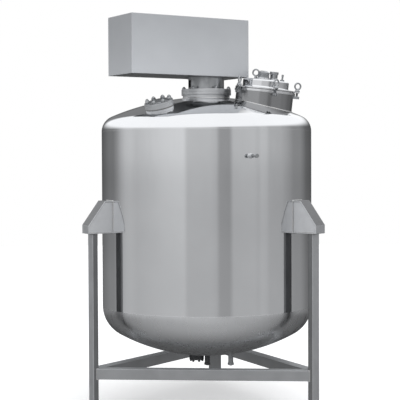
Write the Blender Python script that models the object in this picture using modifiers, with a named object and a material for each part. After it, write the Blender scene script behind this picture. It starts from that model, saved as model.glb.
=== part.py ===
"""Stirred stainless process vessel on a three-legged frame.

A cylindrical shell closed by two dished heads hangs by three lugs on three
legs that are tied together by rails. A sheet-metal drive cover stands on a
pedestal over the middle of the top head, with a hand-hole and a clamped manway
beside it. The manway's lid carries a lamp, a sight glass, a vent and a lifting
eye. The model is in metres with +Z up. The floor is z = 0 and the front of the
vessel faces -Y.
"""

import math

import bmesh
import bpy
from mathutils import Matrix, Vector

# Gap that two touching solids keep
GAP = 0.0003
# How far a cutter, or a piece that is trimmed to the vessel, reaches past the cut
OVERCUT = 0.02
# Half the length of a drill, for a hole square to a head and for a slanting one
DRILL_REACH = 0.10
SLANTED_DRILL_REACH = 0.25

# Vessel body
SHELL_RADIUS = 0.650
WALL = 0.006
BOTTOM_SEAM_Z = 0.578
TOP_SEAM_Z = 1.654
TOP_CROWN_RADIUS = 1.50
TOP_KNUCKLE_RADIUS = 0.100
BOTTOM_CROWN_RADIUS = 1.13
BOTTOM_KNUCKLE_RADIUS = 0.190
BODY_STEPS = 56
CROWN_POINTS = 7
KNUCKLE_POINTS = 4

# Frame: three legs, the same angle apart, and the rails between them
LEG_AZIMUTHS = {"left": -60.0, "right": 60.0, "rear": 180.0}
RAIL_AZIMUTHS = {"front": 0.0, "right": 120.0, "left": -120.0}
LEG_WIDTH = 0.084
LEG_DEPTH = 0.032
LEG_CENTRE = 0.757
FOOT_WIDTH = 0.124
FOOT_DEPTH = 0.076
FOOT_THICKNESS = 0.010
RAIL_WIDTH = 0.070
RAIL_BOTTOM_Z = 0.172
RAIL_TOP_Z = 0.235
RAIL_END_INSET = 0.010

# Lugs: boxes of plate with a sloping outer face
LUG_REACH = 0.804
LUG_BOTTOM_Z = 1.042
LUG_TOP_Z = 1.236
LUG_WIDTH = 0.108
LUG_PLATE = 0.008
LUG_SHELF = 0.700
LUG_NOSE = 0.050

# Drive: weld pad, flange, pedestal, base plate and cover
PAD_RADIUS = 0.146
PAD_TOP_Z = 1.879
PAD_DEPTH = 0.060
FLANGE_RADIUS = 0.154
FLANGE_THICKNESS = 0.017
NECK_RADIUS = 0.111
NECK_WALL = 0.008
NECK_FLANGE_THICKNESS = 0.018
NECK_COLLAR_RADIUS = 0.127
NECK_COLLAR_THICKNESS = 0.007
DRIVE_BORE = 0.060
SEAL_RADIUS = 0.082
SEAL_HEIGHT = 0.020
SHAFT_RADIUS = 0.024
SLOT_WIDTH = 0.056
SLOT_HEIGHT = 0.044
SLOT_TURN = 21.0
COVER_LENGTH = 0.820
COVER_WIDTH = 0.303
COVER_HEIGHT = 0.353
COVER_BOTTOM_Z = 1.988
COVER_SHEET = 0.003
COVER_TURN = 35.5
COVER_OFFSET = -0.193
BASE_PLATE_RECESS = 0.002
BASE_PLATE_THICKNESS = 0.010

# Hand-hole: a pad flange on the head and a blind cover
HAND_HOLE_AZIMUTH = -33.0
HAND_HOLE_FROM_AXIS = 0.460
HAND_HOLE_RADIUS = 0.086
HAND_HOLE_BORE = 0.056
HAND_HOLE_PAD = 0.020
HAND_HOLE_COVER = 0.014

# Manway: a neck that leans outwards a little, its rim, lid, hinge and swing bolts
MANWAY_AZIMUTH = 80.0
MANWAY_FROM_AXIS = 0.372
MANWAY_RIM_Z = 1.902
MANWAY_LEAN = 6.5
MANWAY_NECK_RADIUS = 0.176
MANWAY_WALL = 0.005
RIM_RADIUS = 0.186
RIM_THICKNESS = 0.014
GASKET_RADIUS = 0.181
GASKET_THICKNESS = 0.003
LID_EDGE_RADIUS = 0.183
LID_EDGE = 0.008
LID_RADIUS = 0.141
LID_HEIGHT = 0.052
LID_WALL = 0.004
LID_ROUNDING = 0.012
BOLT_AZIMUTHS = (92.0, 20.0, -52.0, -142.0)
BOLT_CENTRE = 0.197
BOLT_RADIUS = 0.007
EAR_WIDTH = 0.030
EAR_HEIGHT = 0.016
EAR_TOP = 0.0155
NUT_RADIUS = 0.016
NUT_HEIGHT = 0.018
EYE_RADIUS = 0.019
EYE_BAR = 0.005
EYE_STOP = 24.0
RING_POINTS = 12
HINGE_AZIMUTH = 164.0
HINGE_WIDTH = 0.046
HINGE_REACH = 0.030
HINGE_PLATE = 0.014

# Fittings on the lid: azimuth and distance from the lid's middle, base radius,
# body radius and height over the lid
LID_FITTINGS = {
    "lamp": (-43.0, 0.027, 0.040, 0.036, 0.054),
    "sight_glass": (124.0, 0.053, 0.031, 0.027, 0.056),
}
FITTING_BASE = 0.012
PANE_RADIUS = 0.019
PANE_THICKNESS = 0.005
PANE_DEPTH = 0.008
VENT_AZIMUTH = 90.0
VENT_FROM_MIDDLE = 0.098
VENT_RADIUS = 0.0065
VENT_FOOT_RADIUS = 0.013
VENT_HEIGHT = 0.044
LID_EYE_AZIMUTH = -114.0
LID_EYE_FROM_MIDDLE = 0.074
LID_EYE_STEM = 0.028
LID_EYE_STEM_RADIUS = 0.008

# Probe in the shell, and the outlets under the bottom head
PROBE_AZIMUTH = 27.0
PROBE_Z = 1.499
PROBE_BOSS_RADIUS = 0.014
PROBE_BOSS_LENGTH = 0.022
PROBE_STEM_RADIUS = 0.005
PROBE_KNOB_RADIUS = 0.012
PROBE_LENGTH = 0.085
PROBE_KNOB_LENGTH = 0.020
DRAIN_OFFSET = 0.067
DRAIN_RADIUS = 0.0455
DRAIN_PAD_BOTTOM_Z = 0.247
DRAIN_BORE = 0.025
DRAIN_COVER_BOTTOM_Z = 0.231
OUTLET_TRIM = 0.040

# Outlets: azimuth and distance from the axis, height of the neck's lower end
# and of the cap's
OUTLETS = {
    "middle_outlet": (0.0, 0.0, 0.212, 0.198),
    "side_outlet": (85.0, 0.148, 0.214, 0.200),
}
OUTLET_RADIUS = 0.016
OUTLET_WALL = 0.003
OUTLET_CAP_RADIUS = 0.0195

# The rear lug reaches further back than the probe does to the front, so the
# vessel's axis stands in front of the middle of the whole object
PROBE_ANGLE = math.radians(PROBE_AZIMUTH)
PROBE_REACH = (SHELL_RADIUS + PROBE_LENGTH) * math.cos(PROBE_ANGLE)
FRONT_REACH = PROBE_REACH + PROBE_KNOB_RADIUS * math.sin(PROBE_ANGLE)
AXIS_Y = (FRONT_REACH - LUG_REACH) / 2


# Scene, materials and the empties that carry the pieces


def clear_scene():
    for old in list(bpy.data.objects):
        bpy.data.objects.remove(old, do_unlink=True)


def make_collection(name):
    made = bpy.data.collections.new(name)
    bpy.context.scene.collection.children.link(made)
    return made


def make_material(name, colour, roughness, metallic):
    made = bpy.data.materials.new(name)
    made.use_nodes = True
    shader = made.node_tree.nodes["Principled BSDF"]
    shader.inputs["Base Color"].default_value = (*colour, 1.0)
    shader.inputs["Roughness"].default_value = roughness
    shader.inputs["Metallic"].default_value = metallic
    return made


def make_empty(name, matrix, parent=None):
    made = bpy.data.objects.new(name, None)
    PIECES.objects.link(made)
    made.parent = parent
    made.matrix_local = matrix
    return made


clear_scene()
PIECES = make_collection("stirred_vessel")
CUTTERS = make_collection("cutters")
POLISHED = make_material("polished_steel", (0.74, 0.75, 0.76), 0.12, 1.0)
BRUSHED = make_material("brushed_steel", (0.58, 0.59, 0.60), 0.34, 1.0)
SATIN = make_material("satin_sheet", (0.66, 0.67, 0.68), 0.42, 1.0)
DARK = make_material("machined_steel", (0.40, 0.41, 0.42), 0.30, 1.0)
RUBBER = make_material("rubber_seal", (0.06, 0.06, 0.065), 0.60, 0.0)
PANE = make_material("sight_pane", (0.30, 0.35, 0.36), 0.05, 0.0)
VESSEL = make_empty("vessel_axis", Matrix.Translation((0.0, AXIS_Y, 0.0)))


# Shapes


def place(mesh, name, material, parent, matrix=None):
    made = bpy.data.objects.new(name, mesh)
    PIECES.objects.link(made)
    made.parent = parent
    made.matrix_local = matrix or Matrix.Identity(4)
    mesh.materials.append(material)
    return made


def as_cutter(cutter):
    PIECES.objects.unlink(cutter)
    CUTTERS.objects.link(cutter)
    cutter.hide_render = True
    cutter.display_type = "WIRE"
    return cutter


def boolean(target, other, operation):
    modifier = target.modifiers.new(other.name, "BOOLEAN")
    modifier.operation = operation
    modifier.object = other


def mesh_from(name, shape):
    mesh = bpy.data.meshes.new(name)
    shape.to_mesh(mesh)
    shape.free()
    return mesh


def make_box(name, size, centre, material, parent):
    """A box by its size and its centre in the parent's frame."""
    shape = bmesh.new()
    bmesh.ops.create_cube(shape, size=1.0)
    bmesh.ops.scale(shape, vec=size, verts=shape.verts)
    return place(mesh_from(name, shape), name, material, parent, Matrix.Translation(centre))


def make_rod(name, radius, low, high, material, parent, at=(0.0, 0.0), steps=24):
    """An upright cylinder from height low to height high in the parent's frame."""
    shape = bmesh.new()
    bmesh.ops.create_cone(
        shape, cap_ends=True, segments=steps, radius1=radius, radius2=radius, depth=high - low
    )
    middle = (at[0], at[1], (low + high) / 2)
    made = place(mesh_from(name, shape), name, material, parent, Matrix.Translation(middle))
    made.data.shade_smooth()
    made.data.set_sharp_from_angle(angle=math.radians(35))
    return made


def make_turned(name, profile, material, parent, closed=False, steps=24):
    """A profile of (radius, height) points, outer side top to bottom, turned about Z."""
    shape = bmesh.new()
    points = [shape.verts.new((radius, 0.0, height)) for radius, height in profile]
    for first, second in zip(points, points[1:]):
        shape.edges.new((first, second))
    if closed:
        shape.edges.new((points[-1], points[0]))
    made = place(mesh_from(name, shape), name, material, parent)
    screw = made.modifiers.new("turn", "SCREW")
    screw.axis = "Z"
    screw.angle = math.tau
    screw.steps = steps
    screw.render_steps = steps
    screw.use_merge_vertices = True
    screw.merge_threshold = 0.0001
    screw.use_smooth_shade = True
    return made


def make_ring(name, inner, outer, low, high, material, parent, steps=24):
    profile = ((outer, high), (outer, low), (inner, low), (inner, high))
    return make_turned(name, profile, material, parent, closed=True, steps=steps)


def make_plate(name, outline, thickness, material, parent, matrix):
    """A flat outline of (x, y) points, extruded equally to both sides."""
    curve = bpy.data.curves.new(name, "CURVE")
    curve.dimensions = "2D"
    curve.fill_mode = "BOTH"
    curve.extrude = thickness / 2
    spline = curve.splines.new("POLY")
    spline.points.add(len(outline) - 1)
    for point, (x, y) in zip(spline.points, outline):
        point.co = (x, y, 0.0, 1.0)
    spline.use_cyclic_u = True
    return made_mesh(place(curve, name, material, parent, matrix))


def make_loop(name, points, radius, parent):
    """A round bar along a closed loop of points."""
    curve = bpy.data.curves.new(name, "CURVE")
    curve.dimensions = "3D"
    curve.bevel_depth = radius
    curve.bevel_resolution = 1
    spline = curve.splines.new("POLY")
    spline.points.add(len(points) - 1)
    for point, position in zip(spline.points, points):
        point.co = (*position, 1.0)
    spline.use_cyclic_u = True
    return made_mesh(place(curve, name, DARK, parent))


def made_mesh(curve_object):
    """The mesh of a curve object, welded at its caps, in the curve's place."""
    name = curve_object.name
    parent = curve_object.parent
    bpy.context.view_layer.update()
    graph = bpy.context.evaluated_depsgraph_get()
    mesh = bpy.data.meshes.new_from_object(curve_object.evaluated_get(graph))
    shape = bmesh.new()
    shape.from_mesh(mesh)
    bmesh.ops.remove_doubles(shape, verts=shape.verts, dist=0.00001)
    bmesh.ops.recalc_face_normals(shape, faces=shape.faces)
    shape.to_mesh(mesh)
    shape.free()
    matrix = curve_object.matrix_local.copy()
    bpy.data.objects.remove(curve_object, do_unlink=True)
    made = bpy.data.objects.new(name, mesh)
    PIECES.objects.link(made)
    made.parent = parent
    made.matrix_local = matrix
    return made


def join_to(target, *others):
    """Unites others with target and keeps them as cutters."""
    for other in others:
        boolean(target, as_cutter(other), "UNION")
    return target


# The vessel's body


def dish_profile(crown, knuckle, radius, inset):
    """Points of a dished head from its middle to its rim, as (radius, height over the rim).

    The head is one arc of the crown radius and one of the knuckle radius, which
    meet at the same angle on every surface that is parallel to the outer one.
    """
    turn = math.asin((radius - knuckle) / (crown - knuckle))
    drop = (crown - knuckle) * math.cos(turn)
    crown_radius = crown - inset
    knuckle_radius = knuckle - inset
    points = []
    for step in range(CROWN_POINTS):
        angle = turn * step / CROWN_POINTS
        points.append((crown_radius * math.sin(angle), crown_radius * math.cos(angle) - drop))
    for step in range(KNUCKLE_POINTS + 1):
        angle = turn + (math.pi / 2 - turn) * step / KNUCKLE_POINTS
        points.append(
            (
                radius - knuckle + knuckle_radius * math.sin(angle),
                knuckle_radius * math.cos(angle),
            )
        )
    return points


def head_height(crown, knuckle):
    turn = math.asin((SHELL_RADIUS - knuckle) / (crown - knuckle))
    return crown - (crown - knuckle) * math.cos(turn)


def over_head(from_axis, azimuth):
    """The frame of a fitting that stands square on the top head."""
    angle = math.radians(azimuth)
    lean = math.asin(from_axis / TOP_CROWN_RADIUS)
    middle = TOP_APEX_Z - TOP_CROWN_RADIUS
    height = middle + TOP_CROWN_RADIUS * math.cos(lean)
    spot = Vector((from_axis * math.sin(angle), -from_axis * math.cos(angle), height))
    turned = Matrix.Rotation(angle, 4, "Z") @ Matrix.Rotation(lean, 4, "X")
    return Matrix.Translation(spot) @ turned


def manway_frame():
    """The frame of the manway: its origin is in the middle of the rim's top face."""
    spot = at_azimuth(MANWAY_FROM_AXIS, MANWAY_AZIMUTH, MANWAY_RIM_Z)
    return spot @ Matrix.Rotation(math.radians(MANWAY_LEAN), 4, "X")


def round_manway(azimuth):
    """A turn in the manway's frame that points local -Y at an azimuth of the vessel."""
    return Matrix.Rotation(math.radians(azimuth - MANWAY_AZIMUTH), 4, "Z")


def at_azimuth(from_axis, azimuth, height=0.0):
    """An upright frame at a distance from the axis, with local -Y pointing outwards."""
    angle = math.radians(azimuth)
    spot = Vector((from_axis * math.sin(angle), -from_axis * math.cos(angle), height))
    return Matrix.Translation(spot) @ Matrix.Rotation(angle, 4, "Z")


TOP_APEX_Z = TOP_SEAM_Z + GAP + head_height(TOP_CROWN_RADIUS, TOP_KNUCKLE_RADIUS)
BOTTOM_APEX_Z = BOTTOM_SEAM_Z - GAP - head_height(BOTTOM_CROWN_RADIUS, BOTTOM_KNUCKLE_RADIUS)


def make_head(name, crown, knuckle, rim_z, up):
    """A dished head of even thickness, standing up from its rim or hanging down."""
    outer = [(r, rim_z + up * h) for r, h in dish_profile(crown, knuckle, SHELL_RADIUS, 0.0)]
    inner = [(r, rim_z + up * h) for r, h in dish_profile(crown, knuckle, SHELL_RADIUS, WALL)]
    profile = outer + inner[::-1] if up > 0 else inner + outer[::-1]
    return make_turned(name, profile, POLISHED, VESSEL, steps=BODY_STEPS)


def make_envelope(name, crown, knuckle, rim_z, up):
    """The space that a head fills, with the gap round it, which trims what stands on it."""
    dish = dish_profile(crown, knuckle, SHELL_RADIUS, -GAP)
    outer = [(r, rim_z + up * h) for r, h in dish]
    flat = [(0.0, rim_z)]
    profile = outer + flat if up > 0 else flat + outer[::-1]
    return as_cutter(make_turned(name, profile, POLISHED, VESSEL, steps=BODY_STEPS))


def drill(target, name, radius, matrix, depth=DRILL_REACH):
    """A round hole through target along Z of a frame on the vessel's axis."""
    frame = make_empty(name + "_axis", matrix, VESSEL)
    cutter = make_rod(name, radius, -depth, depth, DARK, frame)
    boolean(target, as_cutter(cutter), "DIFFERENCE")


def make_body():
    inside = SHELL_RADIUS - WALL
    ends = (BOTTOM_SEAM_Z, TOP_SEAM_Z)
    make_ring("shell", inside, SHELL_RADIUS, *ends, POLISHED, VESSEL, BODY_STEPS)
    top = make_head("top_head", TOP_CROWN_RADIUS, TOP_KNUCKLE_RADIUS, TOP_SEAM_Z + GAP, 1)
    drill(top, "drive_hole", DRIVE_BORE, Matrix.Translation((0, 0, TOP_APEX_Z)))
    hand_hole = over_head(HAND_HOLE_FROM_AXIS, HAND_HOLE_AZIMUTH)
    drill(top, "hand_hole_bore", HAND_HOLE_BORE, hand_hole)
    manway_bore = MANWAY_NECK_RADIUS - MANWAY_WALL
    drill(top, "manway_bore", manway_bore, manway_frame(), SLANTED_DRILL_REACH)
    bottom = make_head(
        "bottom_head", BOTTOM_CROWN_RADIUS, BOTTOM_KNUCKLE_RADIUS, BOTTOM_SEAM_Z - GAP, -1
    )
    drain = Matrix.Translation((-DRAIN_OFFSET, 0, BOTTOM_APEX_Z))
    drill(bottom, "drain_hole", DRAIN_BORE, drain)
    for name, (azimuth, from_axis, *_) in OUTLETS.items():
        spot = at_azimuth(from_axis, azimuth, BOTTOM_APEX_Z)
        drill(bottom, name + "_bore", OUTLET_RADIUS - OUTLET_WALL, spot)


# The frame


def make_lug(side, frame, shell_space):
    """A box bracket that is open towards the shell and carries the vessel on its leg."""
    root = SHELL_RADIUS - OVERCUT
    nose_z = LUG_BOTTOM_Z + LUG_NOSE
    outer = (
        (root, LUG_BOTTOM_Z),
        (LUG_REACH, LUG_BOTTOM_Z),
        (LUG_REACH, nose_z),
        (LUG_SHELF, LUG_TOP_Z),
        (root, LUG_TOP_Z),
    )
    slope = math.atan2(LUG_TOP_Z - nose_z, LUG_REACH - LUG_SHELF)
    shelf_in = LUG_PLATE * math.tan(slope / 2)
    nose_in = LUG_PLATE * math.tan((math.pi / 2 - slope) / 2)
    back = root - OVERCUT
    inner = (
        (back, LUG_BOTTOM_Z + LUG_PLATE),
        (LUG_REACH - LUG_PLATE, LUG_BOTTOM_Z + LUG_PLATE),
        (LUG_REACH - LUG_PLATE, nose_z - nose_in),
        (LUG_SHELF - shelf_in, LUG_TOP_Z - LUG_PLATE),
        (back, LUG_TOP_Z - LUG_PLATE),
    )
    # The outlines are drawn outwards and up, then stood on edge in the lug's frame
    stand = Matrix(((0, 0, 1, 0), (-1, 0, 0, 0), (0, 1, 0, 0), (0, 0, 0, 1)))
    lug = make_plate(side + "_lug", outer, LUG_WIDTH, BRUSHED, frame, stand)
    hollow_width = LUG_WIDTH - 2 * LUG_PLATE
    hollow = make_plate(side + "_lug_hollow", inner, hollow_width, BRUSHED, frame, stand)
    boolean(lug, as_cutter(hollow), "DIFFERENCE")
    boolean(lug, shell_space, "DIFFERENCE")


def make_leg(side, frame):
    """A leg under its lug, on a foot plate."""
    low = FOOT_THICKNESS + GAP
    high = LUG_BOTTOM_Z - GAP
    make_box(
        side + "_leg",
        (LEG_WIDTH, LEG_DEPTH, high - low),
        (0, -LEG_CENTRE, (low + high) / 2),
        BRUSHED,
        frame,
    )
    make_box(
        side + "_foot",
        (FOOT_WIDTH, FOOT_DEPTH, FOOT_THICKNESS),
        (0, -LEG_CENTRE, FOOT_THICKNESS / 2),
        BRUSHED,
        frame,
    )


def make_rail(side, azimuth):
    """A rail whose ends are trimmed to the legs and to the next rails."""
    frame = make_empty(side + "_rail_axis", Matrix.Rotation(math.radians(azimuth), 4, "Z"), VESSEL)
    corner = math.radians(60)
    length = 2 * (LEG_CENTRE * math.sin(corner) - RAIL_END_INSET)
    middle_z = (RAIL_BOTTOM_Z + RAIL_TOP_Z) / 2
    height = RAIL_TOP_Z - RAIL_BOTTOM_Z
    rail = make_box(
        side + "_rail",
        (length, RAIL_WIDTH, height),
        (0, -LEG_CENTRE * math.cos(corner), middle_z),
        BRUSHED,
        frame,
    )
    for sign in (-1, 1):
        name = f"{side}_rail_end_{'left' if sign < 0 else 'right'}"
        end = make_empty(name, Matrix.Rotation(sign * corner, 4, "Z"), frame)
        leg_space = make_box(
            name + "_leg",
            (LEG_WIDTH + 2 * GAP, LEG_DEPTH + 2 * GAP, 2 * height),
            (0, -LEG_CENTRE, middle_z),
            DARK,
            end,
        )
        # What lies past the line from the axis to the leg belongs to the next rail
        reach = 4 * RAIL_WIDTH
        next_rail = make_box(
            name + "_next",
            (reach, reach, 2 * height),
            (sign * (reach - GAP) / 2, -LEG_CENTRE, middle_z),
            DARK,
            end,
        )
        boolean(rail, as_cutter(leg_space), "DIFFERENCE")
        boolean(rail, as_cutter(next_rail), "DIFFERENCE")


def make_frame(shell_space):
    for side, azimuth in LEG_AZIMUTHS.items():
        turn = Matrix.Rotation(math.radians(azimuth), 4, "Z")
        frame = make_empty(side + "_support", turn, VESSEL)
        make_lug(side, frame, shell_space)
        make_leg(side, frame)
    for side, azimuth in RAIL_AZIMUTHS.items():
        make_rail(side, azimuth)


# The drive


def make_drive(head_space):
    pad_low = PAD_TOP_Z - PAD_DEPTH
    pad = make_ring("drive_pad", DRIVE_BORE, PAD_RADIUS, pad_low, PAD_TOP_Z, BRUSHED, VESSEL, 32)
    boolean(pad, head_space, "DIFFERENCE")
    flange_low = PAD_TOP_Z + GAP
    flange_high = flange_low + FLANGE_THICKNESS
    sides = (DRIVE_BORE, FLANGE_RADIUS)
    make_ring("drive_flange", *sides, flange_low, flange_high, DARK, VESSEL, 32)
    low = flange_high + GAP
    seal_high = low + SEAL_HEIGHT
    make_rod("shaft_seal", SEAL_RADIUS, low, seal_high, BRUSHED, VESSEL)
    shaft_high = COVER_BOTTOM_Z + BASE_PLATE_RECESS - GAP
    make_rod("drive_shaft", SHAFT_RADIUS, seal_high + GAP, shaft_high, BRUSHED, VESSEL)
    bore = NECK_RADIUS - NECK_WALL
    neck_low = low + NECK_FLANGE_THICKNESS + GAP
    make_ring("pedestal_flange", bore, FLANGE_RADIUS, low, neck_low - GAP, DARK, VESSEL, 32)
    neck_high = shaft_high - NECK_COLLAR_THICKNESS
    profile = (
        (NECK_COLLAR_RADIUS, shaft_high),
        (NECK_COLLAR_RADIUS, neck_high),
        (NECK_RADIUS, neck_high),
        (NECK_RADIUS, neck_low),
        (bore, neck_low),
        (bore, shaft_high),
    )
    pedestal = make_turned("drive_pedestal", profile, DARK, VESSEL, closed=True, steps=32)
    across = Matrix.Rotation(math.radians(SLOT_TURN), 4, "Z")
    slot = make_box(
        "pedestal_slot",
        (3 * NECK_RADIUS, SLOT_WIDTH, SLOT_HEIGHT),
        (0, 0, (neck_low + neck_high) / 2),
        DARK,
        make_empty("pedestal_slot_axis", across, VESSEL),
    )
    boolean(pedestal, as_cutter(slot), "DIFFERENCE")

    turn = Matrix.Translation((0, 0, COVER_BOTTOM_Z)) @ Matrix.Rotation(
        math.radians(COVER_TURN), 4, "Z"
    )
    frame = make_empty("drive_axis", turn, VESSEL)
    cover = make_box(
        "drive_cover",
        (COVER_LENGTH, COVER_WIDTH, COVER_HEIGHT),
        (COVER_OFFSET, 0, COVER_HEIGHT / 2),
        SATIN,
        frame,
    )
    hollow = make_box(
        "drive_cover_hollow",
        (COVER_LENGTH - 2 * COVER_SHEET, COVER_WIDTH - 2 * COVER_SHEET, COVER_HEIGHT),
        (COVER_OFFSET, 0, COVER_HEIGHT / 2 - COVER_SHEET),
        SATIN,
        frame,
    )
    boolean(cover, as_cutter(hollow), "DIFFERENCE")
    inside = 2 * (COVER_SHEET + GAP)
    make_box(
        "drive_base_plate",
        (COVER_LENGTH - inside, COVER_WIDTH - inside, BASE_PLATE_THICKNESS),
        (COVER_OFFSET, 0, BASE_PLATE_RECESS + BASE_PLATE_THICKNESS / 2),
        DARK,
        frame,
    )


# What stands on the top head


def make_hand_hole(head_space):
    spot = over_head(HAND_HOLE_FROM_AXIS, HAND_HOLE_AZIMUTH)
    frame = make_empty("hand_hole_axis", spot, VESSEL)
    sides = (HAND_HOLE_BORE, HAND_HOLE_RADIUS)
    pad = make_ring("hand_hole_pad", *sides, -OVERCUT, HAND_HOLE_PAD, BRUSHED, frame, 28)
    boolean(pad, head_space, "DIFFERENCE")
    low = HAND_HOLE_PAD + GAP
    make_rod(
        "hand_hole_cover", HAND_HOLE_RADIUS, low, low + HAND_HOLE_COVER, BRUSHED, frame, steps=28
    )


def make_eye(name, stem_radius, stem, ring_low, ring_radius, parent, from_middle, turn):
    """A round stem from one height to another under an upright ring."""
    spot = make_empty(name + "_spot", Matrix.Translation((0.0, -from_middle, 0.0)), parent)
    frame = make_empty(name + "_turn", Matrix.Rotation(math.radians(turn), 4, "Z"), spot)
    rod = make_rod(name + "_stem", stem_radius, *stem, DARK, frame, steps=12)
    centre = ring_low + ring_radius
    points = []
    for step in range(RING_POINTS):
        spin = math.tau * step / RING_POINTS
        points.append((ring_radius * math.cos(spin), 0.0, centre + ring_radius * math.sin(spin)))
    return rod, make_loop(name + "_ring", points, EYE_BAR, frame)


def make_swing_bolt(number, azimuth, frame):
    """A bolt in an ear of the neck, its nut on the lid's edge and the nut's eye."""
    name = f"swing_bolt_{number}"
    turn = make_empty(name + "_axis", round_manway(azimuth), frame)
    ear_in = MANWAY_NECK_RADIUS + GAP
    ear_out = BOLT_CENTRE + NUT_RADIUS
    ear = make_box(
        name,
        (EAR_WIDTH, ear_out - ear_in, EAR_HEIGHT),
        (0, -(ear_out + ear_in) / 2, -EAR_TOP - EAR_HEIGHT / 2),
        DARK,
        turn,
    )
    nut_low = GASKET_THICKNESS + LID_EDGE + 3 * GAP
    nut_high = nut_low + NUT_HEIGHT
    nut = make_rod(
        name + "_nut", NUT_RADIUS, nut_low, nut_high, DARK, turn, (0.0, -BOLT_CENTRE), 12
    )
    shank = (-EAR_TOP - EAR_HEIGHT / 2, nut_low + NUT_HEIGHT / 2)
    # Each eye stops at an angle of its own, as the nuts do when they are tight
    stop = EYE_STOP * number - azimuth
    ring_low = nut_high - EYE_BAR / 2
    eye = make_eye(name, BOLT_RADIUS, shank, ring_low, EYE_RADIUS, turn, BOLT_CENTRE, stop)
    join_to(ear, nut, *eye)


def make_manway(head_space):
    frame = make_empty("manway_axis", manway_frame(), VESSEL)
    bore = MANWAY_NECK_RADIUS - MANWAY_WALL
    ends = (-MANWAY_NECK_RADIUS, -RIM_THICKNESS - GAP)
    neck = make_ring("manway_neck", bore, MANWAY_NECK_RADIUS, *ends, POLISHED, frame, 36)
    boolean(neck, head_space, "DIFFERENCE")
    make_ring("manway_rim", bore, RIM_RADIUS, -RIM_THICKNESS, 0.0, POLISHED, frame, 36)
    seal = (GAP, GAP + GASKET_THICKNESS)
    make_ring("manway_gasket", bore, GASKET_RADIUS, *seal, RUBBER, frame, 36)
    low = GASKET_THICKNESS + 2 * GAP
    high = low + LID_EDGE
    top = high + LID_HEIGHT
    inside = LID_RADIUS - LID_WALL
    chamfer = LID_ROUNDING * (1 - math.sin(math.pi / 4))
    profile = (
        (0.0, top),
        (LID_RADIUS - LID_ROUNDING, top),
        (LID_RADIUS - chamfer, top - chamfer),
        (LID_RADIUS, top - LID_ROUNDING),
        (LID_RADIUS, high),
        (LID_EDGE_RADIUS, high),
        (LID_EDGE_RADIUS, low),
        (inside, low),
        (inside, top - LID_ROUNDING),
        (inside - LID_ROUNDING, top - LID_WALL),
        (0.0, top - LID_WALL),
    )
    make_turned("manway_lid", profile, POLISHED, frame, steps=36)
    for number, azimuth in enumerate(BOLT_AZIMUTHS, 1):
        make_swing_bolt(number, azimuth, frame)
    make_hinge(frame, high)
    make_lid_fittings(frame, top)


def make_hinge(frame, edge_top):
    """A bracket on the neck and the arm from its pin to the lid."""
    turn = make_empty("manway_hinge_axis", round_manway(HINGE_AZIMUTH), frame)
    pin = RIM_RADIUS + HINGE_REACH - HINGE_PLATE / 2
    inner = MANWAY_NECK_RADIUS + GAP
    outer = RIM_RADIUS + HINGE_REACH
    post = make_box(
        "hinge_post",
        (HINGE_WIDTH, outer - inner, EAR_HEIGHT),
        (0, -(outer + inner) / 2, -EAR_TOP - EAR_HEIGHT / 2),
        DARK,
        turn,
    )
    low = -EAR_TOP - EAR_HEIGHT / 2
    high = edge_top
    upright = make_box(
        "hinge_upright",
        (HINGE_WIDTH, HINGE_PLATE, high - low),
        (0, -pin, (high + low) / 2),
        DARK,
        turn,
    )
    join_to(post, upright)
    inner = LID_RADIUS + GAP
    make_box(
        "lid_arm",
        (HINGE_WIDTH, outer - inner, HINGE_PLATE),
        (0, -(outer + inner) / 2, edge_top + GAP + HINGE_PLATE / 2),
        DARK,
        turn,
    )


def add_pane(fitting, top, turn, at):
    """Sinks a round pane into the top of a fitting."""
    seat = top - PANE_DEPTH
    sides = (turn, at)
    recess = make_rod("pane_recess", PANE_RADIUS + GAP, seat, top + OVERCUT, DARK, *sides)
    boolean(fitting, as_cutter(recess), "DIFFERENCE")
    pane_low = seat + GAP
    make_rod("sight_pane", PANE_RADIUS, pane_low, pane_low + PANE_THICKNESS, PANE, *sides)


def make_lid_fittings(frame, lid_top):
    """The lamp, sight glass, vent and lifting eye that stand on the lid."""
    low = lid_top + GAP
    for name, (azimuth, from_middle, base, body, height) in LID_FITTINGS.items():
        turn = make_empty(name + "_axis", round_manway(azimuth), frame)
        at = (0.0, -from_middle)
        base_top = low + FITTING_BASE
        make_rod(name + "_base", base, low, base_top, BRUSHED, turn, at)
        fitting = make_rod(name, body, base_top + GAP, low + height, DARK, turn, at)
        if name == "sight_glass":
            add_pane(fitting, low + height, turn, at)
    turn = make_empty("vent_axis", round_manway(VENT_AZIMUTH), frame)
    at = (0.0, -VENT_FROM_MIDDLE)
    foot_top = low + FITTING_BASE
    foot = make_rod("vent", VENT_FOOT_RADIUS, low, foot_top, DARK, turn, at, 12)
    stem_low = low + FITTING_BASE / 2
    stem = make_rod("vent_stem", VENT_RADIUS, stem_low, low + VENT_HEIGHT, DARK, turn, at, 12)
    join_to(foot, stem)
    turn = make_empty("lid_eye_axis", round_manway(LID_EYE_AZIMUTH), frame)
    stem = (low, low + LID_EYE_STEM)
    ring_low = low + LID_EYE_STEM - EYE_BAR
    spot = (turn, LID_EYE_FROM_MIDDLE, -LID_EYE_AZIMUTH)
    rod, ring = make_eye("lid_eye", LID_EYE_STEM_RADIUS, stem, ring_low, EYE_RADIUS, *spot)
    rod.name = "lid_eye"
    join_to(rod, ring)


# The probe in the shell and the outlets underneath


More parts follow.
